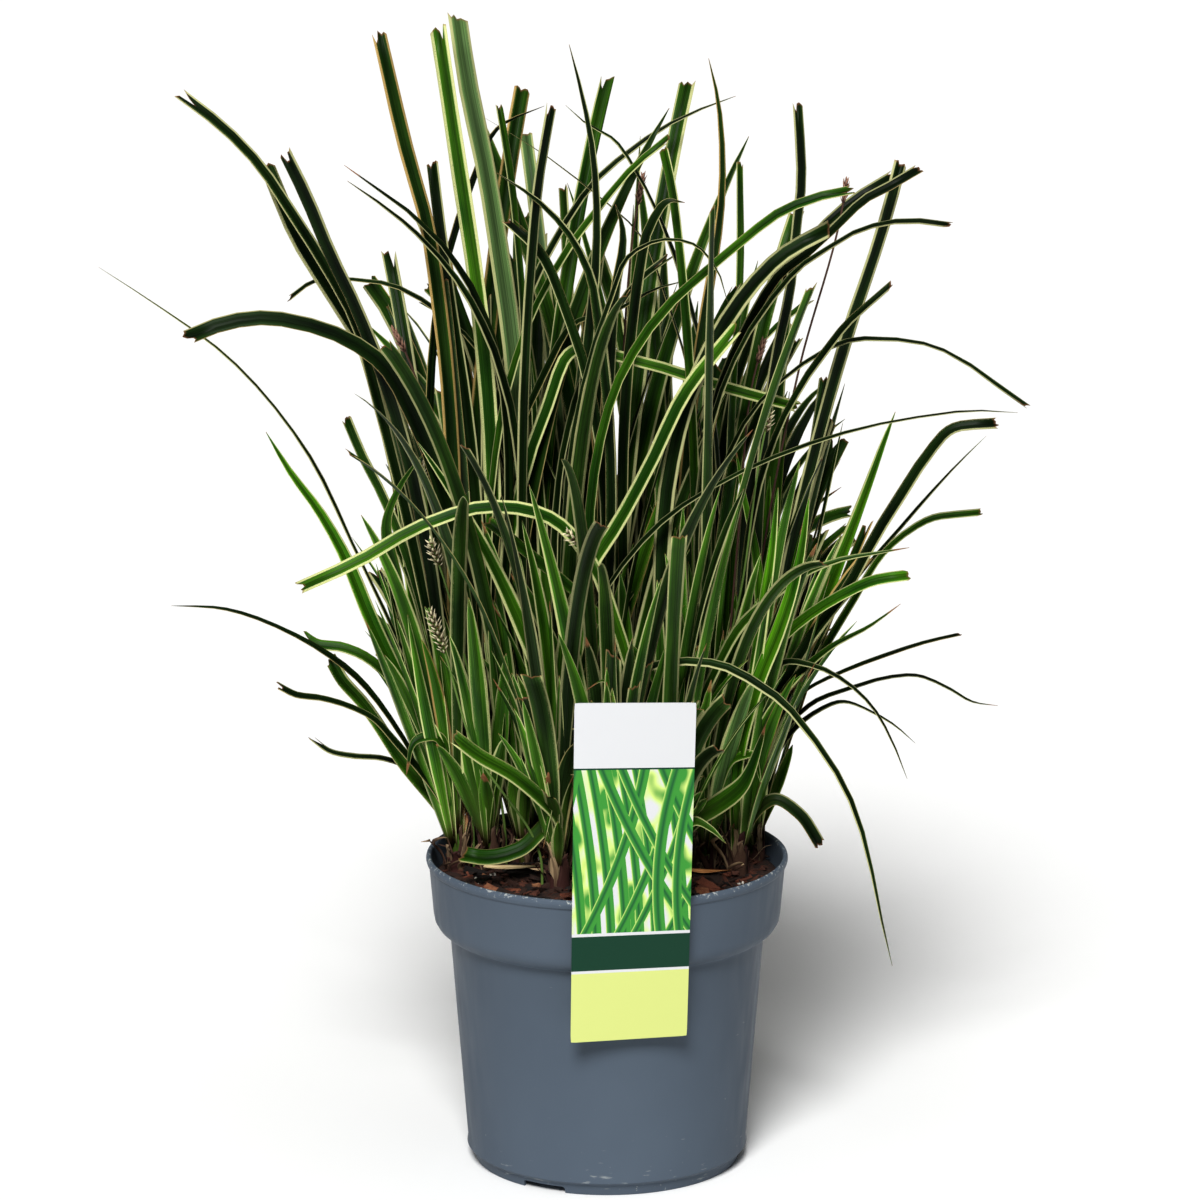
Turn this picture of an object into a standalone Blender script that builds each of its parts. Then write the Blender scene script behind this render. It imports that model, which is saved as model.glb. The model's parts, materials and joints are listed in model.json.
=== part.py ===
"""A variegated sedge in its round nursery pot, with a plant label hung over the rim.

Lengths are in millimetres up to the point where a mesh is made. The pot's axis is Z, its foot stands on z = 0
and the label faces -Y.
"""

import math
import random

import bpy
from mathutils import Vector
from mathutils.bvhtree import BVHTree

MM = 0.001
GAP = 0.3

# The pot: a stepped collar, a rolled lip and a notched foot.
POT_SIDES = 32
SOIL_SIDES = 16
POT_HIGH = 164.0
COLLAR_LOW = 123.0
RECESS_HIGH = 3.7
FLOOR_TOP = 5.7
NOTCH_WIDE = 24.0
NOTCH_TURNS = (-28.0, 92.0, 212.0)
DRAIN_COUNT = 6
DRAIN_RING = 49.0
DRAIN_RADIUS = 4.5

SOIL_TOP = 152.0
SOIL_RADIUS = 89.7
SOIL_SEED = 5
CHIP_COUNT = 9
CHIP_TOP = 156.4

# The label leans outwards at the top, a little more on its right.
LABEL_TURN = 7.3
LABEL_WIDE = 60.0
LABEL_LOW = 89.5
LABEL_HIGH = 271.0
LABEL_THICK = 0.6
LABEL_REST = 96.6
LABEL_REST_HIGH = 161.5
LABEL_LEANS = (5.7, 9.2)
TONGUE_WIDE = 22.0
TONGUE_THICK = 0.8

# The eye that the outlines of the leaves were read from, level across and this far in front and above.
EYE_AWAY = 2600.0
EYE_HIGH = 896.5

ROOT_LOW = 134.0
LEAF_START = 168.0
LEAF_SEED = 23
KEEL = 1.15
SHEATH_SIDES = 6
DEPTH_TRIES = (0, 9, -9, 18, -18, 27, -27, 38, -38, 50, -50, 62, 74)
TRIES = 60
OWN_START = 26.0
BEND = 90.0

# Shoots: name, place across and back, radius of the sheaths, their height above z = 0, filling leaves.
SHOOTS = (
    ("shoot_left_edge", -78.0, 6.0, 6.0, 190.0, 9),
    ("shoot_left", -61.0, 7.0, 6.0, 186.0, 10),
    ("shoot_left_inner", -44.0, 18.0, 6.0, 188.0, 11),
    ("shoot_front_left", -25.0, -26.0, 6.0, 182.0, 10),
    ("shoot_front", 2.0, -38.0, 6.0, 182.0, 10),
    ("shoot_front_right", 30.0, -28.0, 6.0, 182.0, 10),
    ("shoot_right", 50.0, 4.0, 6.5, 184.0, 10),
    ("shoot_right_outer", 68.0, -1.0, 6.0, 186.0, 10),
    ("shoot_right_edge", 77.0, 27.0, 6.0, 192.0, 9),
    ("shoot_right_inner", 60.0, 30.0, 6.0, 188.0, 10),
    ("shoot_back_left", -68.0, 40.0, 6.0, 190.0, 9),
    ("shoot_middle_left", -24.0, 4.0, 6.5, 186.0, 11),
    ("shoot_middle_front", -4.0, -12.0, 6.0, 184.0, 10),
    ("shoot_middle", 12.0, 12.0, 6.5, 186.0, 11),
    ("shoot_middle_right", 32.0, 22.0, 6.5, 186.0, 11),
    ("shoot_middle_back", -10.0, 34.0, 6.5, 188.0, 11),
    ("shoot_left_back", -42.0, 48.0, 6.0, 188.0, 10),
    ("shoot_back_inner", -20.0, 64.0, 6.0, 190.0, 10),
    ("shoot_back", 8.0, 58.0, 6.0, 190.0, 10),
    ("shoot_back_right", 32.0, 62.0, 6.0, 190.0, 10),
    ("shoot_right_back", 54.0, 56.0, 6.0, 190.0, 10),
)

# Leaves by their outline from the front: seen width, depth of the end, whether it is pointed, then the course
# from its end down, across and up, as seen on the plane through the pot's axis.
SEEN_LEAVES = (
    (8.5, 10, False, (-114.5, 590), (-100, 526), (-92, 497), (-85, 450)),
    (6.5, -5, False, (-214.5, 559), (-193, 542), (-176, 524), (-159.5, 499), (-143.5, 473), (-127, 441), (-119, 411)),
    (9.0, 5, False, (-172, 524), (-156, 485), (-140, 458), (-127, 437)),
    (7.5, -20, False, (-162.5, 530), (-152.5, 509), (-140, 478), (-128.7, 454)),
    (5.0, 0, True, (-132.5, 523), (-116, 511), (-99.7, 499)),
    (5.0, -14, True, (-131, 515), (-114, 503), (-98, 490)),
    (3.0, 12, False, (-161, 455), (-150, 463), (-127, 464.5), (-107, 461), (-93.5, 454)),
    (2.5, 2, True, (-257.5, 471), (-233.5, 455), (-191.6, 423.5), (-153, 375), (-128.6, 323), (-107, 275), (-87, 222)),
    (8.5, -8, False, (-214, 434.5), (-195, 442), (-175, 445), (-154, 442), (-134, 435), (-115, 422), (-97, 390)),
    (9.5, 30, False, (-84.7, 593), (-74.5, 522), (-65, 454), (-61, 411)),
    (11.0, 18, False, (-75, 598), (-70, 564), (-61.5, 522), (-53.5, 471), (-50, 446)),
    (7.0, 8, False, (-88, 524), (-85, 497), (-79.6, 454), (-73, 411)),
    (4.5, 40, False, (-54.5, 553.5), (-49, 519), (-45, 480)),
    (6.0, 26, False, (-28, 553), (-35, 512), (-38, 480)),
    (4.5, 55, True, (-31.5, 553), (-55, 542), (-68, 515)),
    (1.8, 60, True, (-61.5, 547), (-34, 530), (-8.5, 510.5), (17, 487), (30, 455)),
    (6.0, 10, True, (-19, 584), (-13.5, 563), (-7.6, 534), (-5, 499), (-6, 466), (-9, 437)),
    (5.0, 20, True, (64.7, 558), (48.6, 552), (30, 543), (10, 529), (-5, 516), (-22, 492)),
    (4.5, 32, False, (32, 537.5), (13.4, 522), (-3.3, 502), (-18.5, 482)),
    (3.0, 48, True, (-21, 553.5), (-11.7, 545), (3.3, 536), (15, 519), (27, 495), (35.5, 473)),
    (6.0, 30, True, (51, 577), (55.4, 558), (58, 531), (57.3, 499), (53.4, 471), (48, 437)),
    (5.5, 14, False, (28.4, 532), (32.7, 513), (36, 489), (38.7, 463)),
    (6.0, 0, True, (39.3, 504), (32, 505), (21.8, 492), (16.8, 471), (13.4, 446)),
    (7.0, 12, True, (4.2, 503), (7, 495), (3.4, 454)),
    (4.5, 40, False, (66.7, 524), (67, 463), (65, 430)),
    (6.0, -4, True, (-55.5, 519), (-35, 505), (-20, 489), (-8.4, 466), (-4, 440)),
    (6.0, 6, False, (-50.5, 495), (-35, 480), (-20, 446)),
    (3.0, -12, True, (61.5, 452), (55.5, 470), (45, 482), (28.5, 485), (11.7, 477), (2, 455)),
    (4.5, 20, False, (32, 477), (14, 462), (0, 440)),
    (4.0, -6, True, (41.5, 464.5), (25, 460), (5, 449), (-16.6, 442), (-30, 420)),
    (7.0, -45, False, (97, 399), (60, 409), (10, 424), (-17, 428), (-30, 400)),
    (6.0, 24, False, (95.8, 554), (97.8, 512), (95.4, 489), (92.6, 459), (86.5, 429)),
    (7.5, 16, False, (147.8, 524), (142.4, 502), (134.5, 475), (125, 446), (116, 415)),
    (5.5, -10, False, (124, 510.5), (107.4, 507), (87.6, 499), (67.6, 483.5), (47, 466), (33.7, 454)),
    (5.5, 2, False, (157, 521), (145.6, 514), (130.6, 506), (116, 492), (101, 478), (88, 468), (76, 450)),
    (6.0, 30, False, (143, 517), (124, 505), (107.6, 490), (92, 470)),
    (9.0, -14, False, (113, 491), (88, 476.5), (73, 461), (61, 444)),
    (3.5, -22, False, (173, 492.5), (159, 494.4), (144, 494), (126, 489), (111, 480), (99, 472), (84, 455)),
    (4.5, 0, False, (144, 462), (135, 454), (122, 442), (112, 429), (102, 415)),
    (3.0, 14, False, (214.5, 399), (205.5, 405), (187, 419), (165, 430.5), (142.6, 434), (122, 433), (98, 420)),
    (3.0, -30, True, (209.5, 396), (186.6, 397), (161, 394), (139, 390), (98.5, 378), (64.6, 363), (27, 338), (5, 312)),
    (6.5, -16, False, (198.6, 390.5), (175, 387), (163, 373), (151, 354), (139.5, 335), (119.6, 298), (106, 280)),
    (3.0, 4, True, (193.6, 384), (178, 368), (163, 351), (148, 333), (133, 315.5), (118, 295)),
    (4.5, 28, False, (191.5, 344), (180.6, 343), (167, 341), (153, 333), (143, 324), (128, 300)),
    (8.0, 8, True, (147, 396.5), (141, 380), (134.5, 361), (126, 337), (118, 315.5)),
    (5.5, -34, True, (155, 325.6), (140, 323), (119, 319), (102, 312), (85.6, 300), (68.6, 284), (58, 265)),
    (6.5, -22, False, (154.6, 311), (136.6, 308), (119.6, 300), (102.7, 289), (91, 279)),
    (4.5, -8, True, (151, 296), (135, 284), (116, 273.5), (99.4, 259)),
    (2.8, 20, False, (182, 280), (165, 276), (144, 269), (123.5, 261), (103, 250.5)),
    (2.8, 30, True, (202, 242), (189, 244), (175, 252), (160, 258), (144.6, 257), (127.6, 252), (107, 244)),
    (3.0, 12, True, (159.5, 222), (148, 232), (138, 238), (121, 244), (107, 238)),
    (3.5, -6, True, (155.5, 203), (147, 224), (138, 240), (124, 254), (107, 263), (91.6, 265), (80, 255)),
    (5.0, -112, True, (149, 102), (119.6, 205), (104, 228), (90.5, 244), (77, 254), (60, 263), (39, 265.5), (17, 261)),
    (7.5, -20, True, (-174, 386), (-162.5, 366), (-147, 344), (-135.5, 323), (-124, 294)),
    (6.0, 20, False, (-132.7, 393), (-124.5, 373), (-116, 356)),
    (6.5, -30, True, (-93.6, 375), (-105.6, 358), (-112.6, 340), (-108, 310)),
    (7.5, -75, False, (-158.8, 304), (-128.4, 318), (-94, 337.5), (-60, 347), (-29, 341), (-5, 312), (2, 293)),
    (3.5, -24, True, (-224, 295), (-197.7, 293.5), (-163.7, 281), (-129.5, 257.5), (-107.6, 228), (-95, 205)),
    (6.0, -10, False, (-158.6, 281), (-150, 275), (-136.6, 273), (-126.4, 269), (-116, 261), (-104.4, 245), (-92.6, 224)),
    (7.5, 14, False, (-142.6, 267), (-136.8, 256), (-126.6, 244), (-108, 215)),
    (4.0, -28, False, (-170.5, 253), (-161, 248), (-147.6, 246), (-134, 242), (-120.6, 235), (-110.6, 224)),
    (3.5, -4, False, (-152.6, 224.5), (-144, 218), (-130.6, 215), (-117, 214), (-105, 210)),
    (8.0, -52, False, (-80, 226), (-66, 215), (-49, 205), (-35, 193), (-24.6, 181)),
    (4.0, -20, True, (-69, 243), (-66, 215), (-62, 190)),
    (4.0, -14, True, (-52.8, 238), (-55, 210), (-58, 190)),
    (10.0, -48, True, (82, 232), (78.6, 220), (69.6, 199), (56, 188), (45, 181)),
    (7.0, -12, False, (111, 167), (100, 184), (88, 192)),
    (6.0, -6, True, (65.4, 379), (69.6, 354), (75.6, 326)),
    (7.0, -14, True, (87.5, 357), (85, 326), (81.6, 300)),
    (8.0, -22, True, (103.5, 352), (98.6, 317), (88.6, 282), (78.6, 256), (69, 221)),
    (8.5, -34, True, (39, 348), (38, 320), (38, 285), (36, 250)),
    (8.0, -30, False, (66, 440), (39.6, 406), (22.5, 370), (5, 337), (-8.6, 315.5)),
    (8.5, -36, True, (-96.8, 381), (-75, 347), (-58, 315.5), (-42.7, 281), (-31, 249), (-26, 212)),
    (8.0, -44, True, (-43.6, 340), (-36.5, 308.5), (-31, 273.5), (-27.6, 238)),
    (6.5, -42, False, (-61.6, 340), (-36, 319), (-12, 298), (5, 277), (22.6, 261), (32, 235)),
    (2.5, -60, True, (-11, 250), (-2, 255), (4, 246), (8, 225)),
)

# Stalks of the sedge's flowers: depth of the head, head's length and width, then the course from the head's end.
STALKS = (
    ("flower_stalk_pale_low", -38, 25.0, 6.2, (-91.6, 294), (-83, 268), (-70, 222)),
    ("flower_stalk_pale_left", -30, 15.0, 5.4, (-91.0, 330), (-84, 310), (-72, 262)),
    ("flower_stalk_small", -12, 10.0, 4.6, (-95.6, 371), (-94, 360), (-86, 300)),
    ("flower_stalk_middle", -62, 11.0, 5.0, (-21.6, 334), (-10, 324), (1, 293), (3, 255)),
    ("flower_stalk_brown_left", 4, 24.0, 4.4, (-117, 412), (-104, 388), (-88, 330)),
    ("flower_stalk_brown_left_inner", 28, 14.0, 4.0, (-109, 440), (-101, 424), (-88, 360)),
    ("flower_stalk_brown_middle", 40, 16.0, 4.2, (18.5, 519), (15, 500), (8, 420)),
    ("flower_stalk_brown_right_high", 34, 12.0, 4.0, (121, 516), (119, 502), (98, 420)),
    ("flower_stalk_brown_right", 22, 12.0, 4.2, (80, 434), (76, 420), (68, 340)),
    ("flower_stalk_right_low", -20, 11.0, 4.4, (83, 397), (80, 383), (70, 310)),
)

# The outline that the filling leaves stay within from the front: height, left and right.
CROWN = (
    (150, -97, 99),
    (210, -112, 112),
    (260, -128, 128),
    (330, -132, 136),
    (400, -134, 126),
    (450, -130, 112),
    (500, -112, 104),
    (545, -88, 66),
    (590, -80, 20),
)

PAINTS = {
    "slate blue polypropylene": ((0.085, 0.105, 0.135), 0.42),
    "bark compost": ((0.045, 0.026, 0.017), 0.95),
    "printed label plastic": ((0.62, 0.72, 0.42), 0.35),
    "sedge leaf": ((0.055, 0.17, 0.02), 0.5),
    "pale sedge spikelets": ((0.60, 0.52, 0.34), 0.7),
    "dry sedge spikelets": ((0.22, 0.10, 0.06), 0.8),
    "straw dry leaf": ((0.55, 0.40, 0.22), 0.7),
    "orange dry leaf": ((0.45, 0.17, 0.05), 0.7),
}


def material(name):
    """The one material of this name, made when first asked for."""
    found = bpy.data.materials.get(name)
    if found:
        return found
    colour, rough = PAINTS[name]
    made = bpy.data.materials.new(name)
    made.use_nodes = True
    shader = made.node_tree.nodes["Principled BSDF"]
    shader.inputs["Base Color"].default_value = (*colour, 1.0)
    shader.inputs["Roughness"].default_value = rough
    made.diffuse_color = (*colour, 1.0)
    return made


def mesh_object(name, points, faces, paint, smooth=False):
    """A new object from points in millimetres, its faces turned outwards."""
    mesh = bpy.data.meshes.new(name)
    mesh.from_pydata([tuple(value * MM for value in point) for point in points], [], faces)
    mesh.update()
    if signed_volume(points, faces) < 0:
        mesh.flip_normals()
    if paint:
        mesh.materials.append(material(paint))
    for polygon in mesh.polygons:
        polygon.use_smooth = smooth
    made = bpy.data.objects.new(name, mesh)
    bpy.context.scene.collection.objects.link(made)
    return made


def signed_volume(points, faces):
    """Six times the volume that the faces hold, negative when they face inwards."""
    total = 0.0
    for face in faces:
        first = Vector(points[face[0]])
        for one, two in zip(face[1:-1], face[2:]):
            total += first.dot(Vector(points[one]).cross(Vector(points[two])))
    return total


def combine(target, others, operation, solver="MANIFOLD"):
    """Runs one Boolean of the others on the target, applies it and removes the others."""
    group = bpy.data.collections.new("tools")
    bpy.context.scene.collection.children.link(group)
    for other in others:
        bpy.context.scene.collection.objects.unlink(other)
        group.objects.link(other)
    step = target.modifiers.new("combine", "BOOLEAN")
    step.operation = operation
    step.solver = solver
    step.operand_type = "COLLECTION"
    step.collection = group
    graph = bpy.context.evaluated_depsgraph_get()
    mesh = bpy.data.meshes.new_from_object(target.evaluated_get(graph))
    target.modifiers.clear()
    target.data = mesh
    for other in others:
        bpy.data.objects.remove(other)
    bpy.data.collections.remove(group)


def keep_main_body(target):
    """Drops loose scraps and sealed hollows, which are the bodies other than the largest."""
    mesh = target.data
    parent = list(range(len(mesh.vertices)))

    def top(index):
        while parent[index] != index:
            parent[index] = parent[parent[index]]
            index = parent[index]
        return index

    for edge in mesh.edges:
        one, two = top(edge.vertices[0]), top(edge.vertices[1])
        parent[one] = two
    owners = [top(index) for index in range(len(mesh.vertices))]
    counts = {}
    for owner in owners:
        counts[owner] = counts.get(owner, 0) + 1
    if len(counts) == 1:
        return
    main = max(counts, key=counts.get)
    points = [vertex.co / MM for vertex in mesh.vertices]
    faces = [tuple(face.vertices) for face in mesh.polygons if owners[face.vertices[0]] == main]
    used = sorted({index for face in faces for index in face})
    place = {index: at for at, index in enumerate(used)}
    clean = bpy.data.meshes.new(target.name)
    clean.from_pydata(
        [tuple(points[index] * MM) for index in used], [], [tuple(place[i] for i in face) for face in faces]
    )
    for slot in mesh.materials:
        clean.materials.append(slot)
    target.data = clean


def lathe(name, profile, sides, paint, smooth=True):
    """A turned body from (radius, height) points, the first and the last of them on the axis."""
    points = [(0.0, 0.0, profile[0][1])]
    faces = []
    for radius, high in profile[1:-1]:
        for side in range(sides):
            turn = math.tau * side / sides
            points.append((radius * math.cos(turn), radius * math.sin(turn), high))
    points.append((0.0, 0.0, profile[-1][1]))
    rings = len(profile) - 2
    last = len(points) - 1
    for side in range(sides):
        after = (side + 1) % sides
        faces.append((0, 1 + after, 1 + side))
        for ring in range(rings - 1):
            low, high = 1 + ring * sides, 1 + (ring + 1) * sides
            faces.append((low + side, low + after, high + after, high + side))
        top = 1 + (rings - 1) * sides
        faces.append((top + side, top + after, last))
    return mesh_object(name, points, faces, paint, smooth)


def prism(name, centre, radius, low, high, sides, shrink=1.0, turn=0.0):
    """An upright prism, or a frustum where shrink isn't 1."""
    points = []
    for level, size in ((low, radius), (high, radius * shrink)):
        for side in range(sides):
            angle = turn + math.tau * side / sides
            points.append((centre[0] + size * math.cos(angle), centre[1] + size * math.sin(angle), level))
    faces = [tuple(reversed(range(sides))), tuple(range(sides, 2 * sides))]
    for side in range(sides):
        after = (side + 1) % sides
        faces.append((side, after, sides + after, sides + side))
    return mesh_object(name, points, faces, None)


def block(name, centre, size, turn=0.0, tilt=0.0, paint=None):
    """A box turned about the vertical and tilted about its own length."""
    points = []
    for sx in (-0.5, 0.5):
        for sy in (-0.5, 0.5):
            for sz in (-0.5, 0.5):
                x, y, z = sx * size[0], sy * size[1], sz * size[2]
                y, z = y * math.cos(tilt) - z * math.sin(tilt), y * math.sin(tilt) + z * math.cos(tilt)
                points.append(
                    (
                        centre[0] + x * math.cos(turn) - y * math.sin(turn),
                        centre[1] + x * math.sin(turn) + y * math.cos(turn),
                        centre[2] + z,
                    )
                )
    faces = [(0, 1, 3, 2), (4, 6, 7, 5), (0, 4, 5, 1), (2, 3, 7, 6), (0, 2, 6, 4), (1, 5, 7, 3)]
    return mesh_object(name, points, faces, paint)


def pot_profile():
    """(radius, height) points from the underside's centre, up the outside and down the inside."""
    return [
        (0.0, 0.0),
        (30.0, 0.0),
        (31.0, RECESS_HIGH),
        (67.2, RECESS_HIGH),
        (67.5, 0.0),
        (69.2, 0.0),
        (70.5, 5.5),
        (73.5, 7.5),
        (73.0, 11.0),
        (81.9, COLLAR_LOW - 1.0),
        (86.5, COLLAR_LOW + 1.8),
        (90.3, COLLAR_LOW + 9.5),
        (92.5, POT_HIGH - 6.0),
        (94.5, POT_HIGH - 5.0),
        (95.0, POT_HIGH - 2.4),
        (94.0, POT_HIGH - 0.4),
        (92.6, POT_HIGH),
        (91.2, POT_HIGH - 1.2),
        (90.9, POT_HIGH - 6.0),
        (88.7, COLLAR_LOW + 10.5),
        (85.6, COLLAR_LOW + 4.0),
        (80.4, COLLAR_LOW + 0.8),
        (71.6, 9.0),
        (68.5, FLOOR_TOP),
        (30.6, FLOOR_TOP),
        (28.5, 2.0),
        (0.0, 2.0),
    ]


def make_pot():
    """The pot with its foot notches and drain holes."""
    pot = lathe("pot", pot_profile(), POT_SIDES, "slate blue polypropylene")
    cutters = []
    for turn in NOTCH_TURNS:
        angle = math.radians(turn - 90.0)
        centre = (72.0 * math.cos(angle), 72.0 * math.sin(angle), 0.8)
        cutters.append(block("notch", centre, (14.0, NOTCH_WIDE, 2 * RECESS_HIGH - 1.7), angle))
    for index in range(DRAIN_COUNT):
        angle = math.tau * (index + 0.25) / DRAIN_COUNT
        centre = (DRAIN_RING * math.cos(angle), DRAIN_RING * math.sin(angle))
        cutters.append(prism("drain", centre, DRAIN_RADIUS, 1.0, 9.0, 8))
    combine(pot, cutters, "DIFFERENCE", "EXACT")
    return pot


def soil_profile():
    """(radius, height) points of the filled inside, a gap within the pot's wall."""
    return [
        (0.0, 2.0 + GAP),
        (28.5 - GAP, 2.0 + GAP),
        (30.6 - GAP, FLOOR_TOP + GAP),
        (68.5 - GAP, FLOOR_TOP + GAP),
        (71.6 - GAP, 9.0 + GAP),
        (80.4 - GAP, COLLAR_LOW + 1.3),
        (85.6 - GAP, COLLAR_LOW + 4.5),
        (88.7 - 1.5 * GAP, COLLAR_LOW + 11.0),
        (SOIL_RADIUS, SOIL_TOP - 2.0),
        (74.0, SOIL_TOP + 1.0),
        (48.0, SOIL_TOP - 0.5),
        (22.0, SOIL_TOP + 0.5),
        (0.0, SOIL_TOP),
    ]


def make_soil(holes):
    """The soil with its uneven top, bark chips and the holes that the plants stand in."""
    draw = random.Random(SOIL_SEED)
    soil = lathe("soil", soil_profile(), SOIL_SIDES, "bark compost", smooth=False)
    for vertex in soil.data.vertices:
        x, y, z = vertex.co / MM
        if z > SOIL_TOP - 1.0 and math.hypot(x, y) < 80.0:
            wave = math.sin(0.11 * x + 0.9) * math.cos(0.13 * y) + 0.5 * math.sin(0.31 * x + 0.27 * y)
            vertex.co.z = (z + 1.1 * wave + draw.uniform(-0.6, 0.6)) * MM
    chips = [
        block("chip", (-44.0, -8.0, CHIP_TOP - 4.0), (15.0, 11.0, 8.0), 0.3),
        block("chip", (53.5, -16.0, CHIP_TOP - 4.0), (14.0, 9.0, 8.0), -0.5),
    ]
    for _ in range(CHIP_COUNT):
        angle = draw.uniform(-math.pi, 0.25 * math.pi)
        away = draw.uniform(14.0, 76.0)
        size = (draw.uniform(9.0, 20.0), draw.uniform(5.0, 9.0), 6.0)
        centre = (away * math.cos(angle), away * math.sin(angle), SOIL_TOP - draw.uniform(0.2, 1.6))
        chips.append(block("chip", centre, size, draw.uniform(0, math.pi), draw.uniform(-0.35, 0.35)))
    combine(soil, chips, "UNION")
    combine(soil, holes, "DIFFERENCE")
    keep_main_body(soil)
    return soil


def label_point(across, level, back=0.0):
    """A point of the label's front: across from -1 to 1, level in height above z = 0, back behind the sheet."""
    lean = 0.5 * (LABEL_LEANS[0] + LABEL_LEANS[1]) + 0.5 * across * (LABEL_LEANS[1] - LABEL_LEANS[0])
    away = LABEL_REST + (level - LABEL_REST_HIGH) * math.tan(math.radians(lean)) - back
    turn = math.radians(LABEL_TURN)
    wide = 0.5 * LABEL_WIDE * across
    return (
        away * math.sin(turn) + wide * math.cos(turn),
        -away * math.cos(turn) + wide * math.sin(turn),
        level,
    )


def strip(name, fronts, backs, columns, paint):
    """A closed sheet between two equal grids of points, each row of them columns long."""
    rows = len(fronts) // columns
    points = fronts + backs
    half = len(fronts)
    faces = []

    def add(a, b, c):
        faces.append((a, b, c))
        faces.append((half + c, half + b, half + a))

    for row in range(rows - 1):
        for column in range(columns - 1):
            at = row * columns + column
            add(at, at + 1, at + columns + 1)
            add(at, at + columns + 1, at + columns)
    rim = [row * columns for row in reversed(range(rows))] + list(range(1, columns))
    rim += [row * columns + columns - 1 for row in range(1, rows)]
    rim += [(rows - 1) * columns + column for column in reversed(range(1, columns - 1))]
    for one, two in zip(rim, rim[1:] + rim[:1]):
        faces.append((two, one, half + one))
        faces.append((two, half + one, half + two))
    return mesh_object(name, points, faces, paint)


def tongue_course():
    """(away from the axis, height) points of the strip behind the label that goes over the rim into the soil."""
    rest = LABEL_REST + (174.0 - LABEL_REST_HIGH) * 0.13
    return [(rest - 0.2, 178.0), (rest - 1.6, 171.0), (92.5, 166.4), (87.6, 165.0), (84.6, 158.0), (83.4, 130.0)]


def ribbon(course, thick, wide, shift=0.0, grow=0.0):
    """Front and back grids for a strip of this thickness along a course in the plane through the label's middle."""
    turn = math.radians(LABEL_TURN)
    fronts, backs = [], []
    for index, (away, high) in enumerate(course):
        before = course[max(index - 1, 0)]
        after = course[min(index + 1, len(course) - 1)]
        run = Vector((after[0] - before[0], after[1] - before[1])).normalized()
        side = Vector((run.y, -run.x))
        for across in (-0.5, 0.5):
            wing = across * (wide + 2 * grow)
            for grid, offset in ((fronts, 0.5 * thick + grow), (backs, -0.5 * thick - grow)):
                out = away + shift + side.x * offset
                up = high + side.y * offset
                grid.append(
                    (
                        out * math.sin(turn) + wing * math.cos(turn),
                        -out * math.cos(turn) + wing * math.sin(turn),
                        up,
                    )
                )
    return fronts, backs


def make_label():
    """The label's sheet, joined to the tongue that holds it."""
    levels = [LABEL_LOW + (LABEL_HIGH - LABEL_LOW) * step / 6 for step in range(7)]
    spread = (-1.0, -0.5, 0.0, 0.5, 1.0)
    fronts = [label_point(across, level) for level in levels for across in spread]
    backs = [label_point(across, level, LABEL_THICK) for level in levels for across in spread]
    label = strip("label", fronts, backs, len(spread), "printed label plastic")
    tongue = strip("tongue", *ribbon(tongue_course(), TONGUE_THICK, TONGUE_WIDE), 2, None)
    combine(label, [tongue], "UNION")
    keep_main_body(label)
    return label


def tongue_slot():
    """The slot in the soil that the tongue goes down into."""
    course = tongue_course()[-2:]
    low = (course[1][0] - 0.1, course[1][1] - 1.0)
    high = (course[0][0] + 0.1, SOIL_TOP + 12.0)
    return strip("slot", *ribbon([high, low], TONGUE_THICK, TONGUE_WIDE, grow=0.6), 2, None)


def seen(point):
    """Where a point is seen on the plane through the pot's axis."""
    scale = (point[1] + EYE_AWAY) / EYE_AWAY
    return point[0] / scale, EYE_HIGH + (point[2] - EYE_HIGH) / scale


def from_seen(across, up, depth):
    """The point at this depth that is seen at this place on the plane through the pot's axis."""
    scale = (depth + EYE_AWAY) / EYE_AWAY
    return Vector((across * scale, depth, EYE_HIGH + (up - EYE_HIGH) * scale))


def smooth_course(controls, start):
    """Points close together along a smooth curve through the controls, leaving the first one in this direction."""
    spans = [(b - a).length for a, b in zip(controls, controls[1:])]
    slopes = [start.normalized()]
    for index in range(1, len(controls) - 1):
        before = (controls[index] - controls[index - 1]) / spans[index - 1]
        after = (controls[index + 1] - controls[index]) / spans[index]
        slopes.append((before * spans[index] + after * spans[index - 1]) / (spans[index] + spans[index - 1]))
    slopes.append((controls[-1] - controls[-2]) / spans[-1])
    found = []
    for index, span in enumerate(spans):
        for step in range(12):
            t = step / 12
            found.append(
                (2 * t**3 - 3 * t**2 + 1) * controls[index]
                + (t**3 - 2 * t**2 + t) * span * slopes[index]
                + (3 * t**2 - 2 * t**3) * controls[index + 1]
                + (t**3 - t**2) * span * slopes[index + 1]
            )
    found.append(controls[-1].copy())
    return found


def lengths_along(points):
    """The length from the first point to each."""
    found = [0.0]
    for one, two in zip(points, points[1:]):
        found.append(found[-1] + (two - one).length)
    return found


def spaced(points, count, bend=0.0):
    """Count + 1 points along the points, at equal lengths, or closer together where the course bends."""
    along = lengths_along(points)
    tangents = tangents_of(points)
    turned = 0.0
    for index in range(1, len(points)):
        turned += tangents[index].angle(tangents[index - 1], 0.0)
        along[index] += bend * turned
    found = []
    at = 0
    for index in range(count + 1):
        goal = along[-1] * index / count
        while at < len(points) - 2 and along[at + 1] < goal:
            at += 1
        share = (goal - along[at]) / max(along[at + 1] - along[at], 1e-9)
        found.append(points[at].lerp(points[at + 1], min(max(share, 0.0), 1.0)))
    return found


def tangents_of(points):
    """The direction of the course at each point."""
    found = []
    for index in range(len(points)):
        ahead = points[min(index + 1, len(points) - 1)] - points[max(index - 1, 0)]
        found.append(ahead.normalized())
    return found


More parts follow.
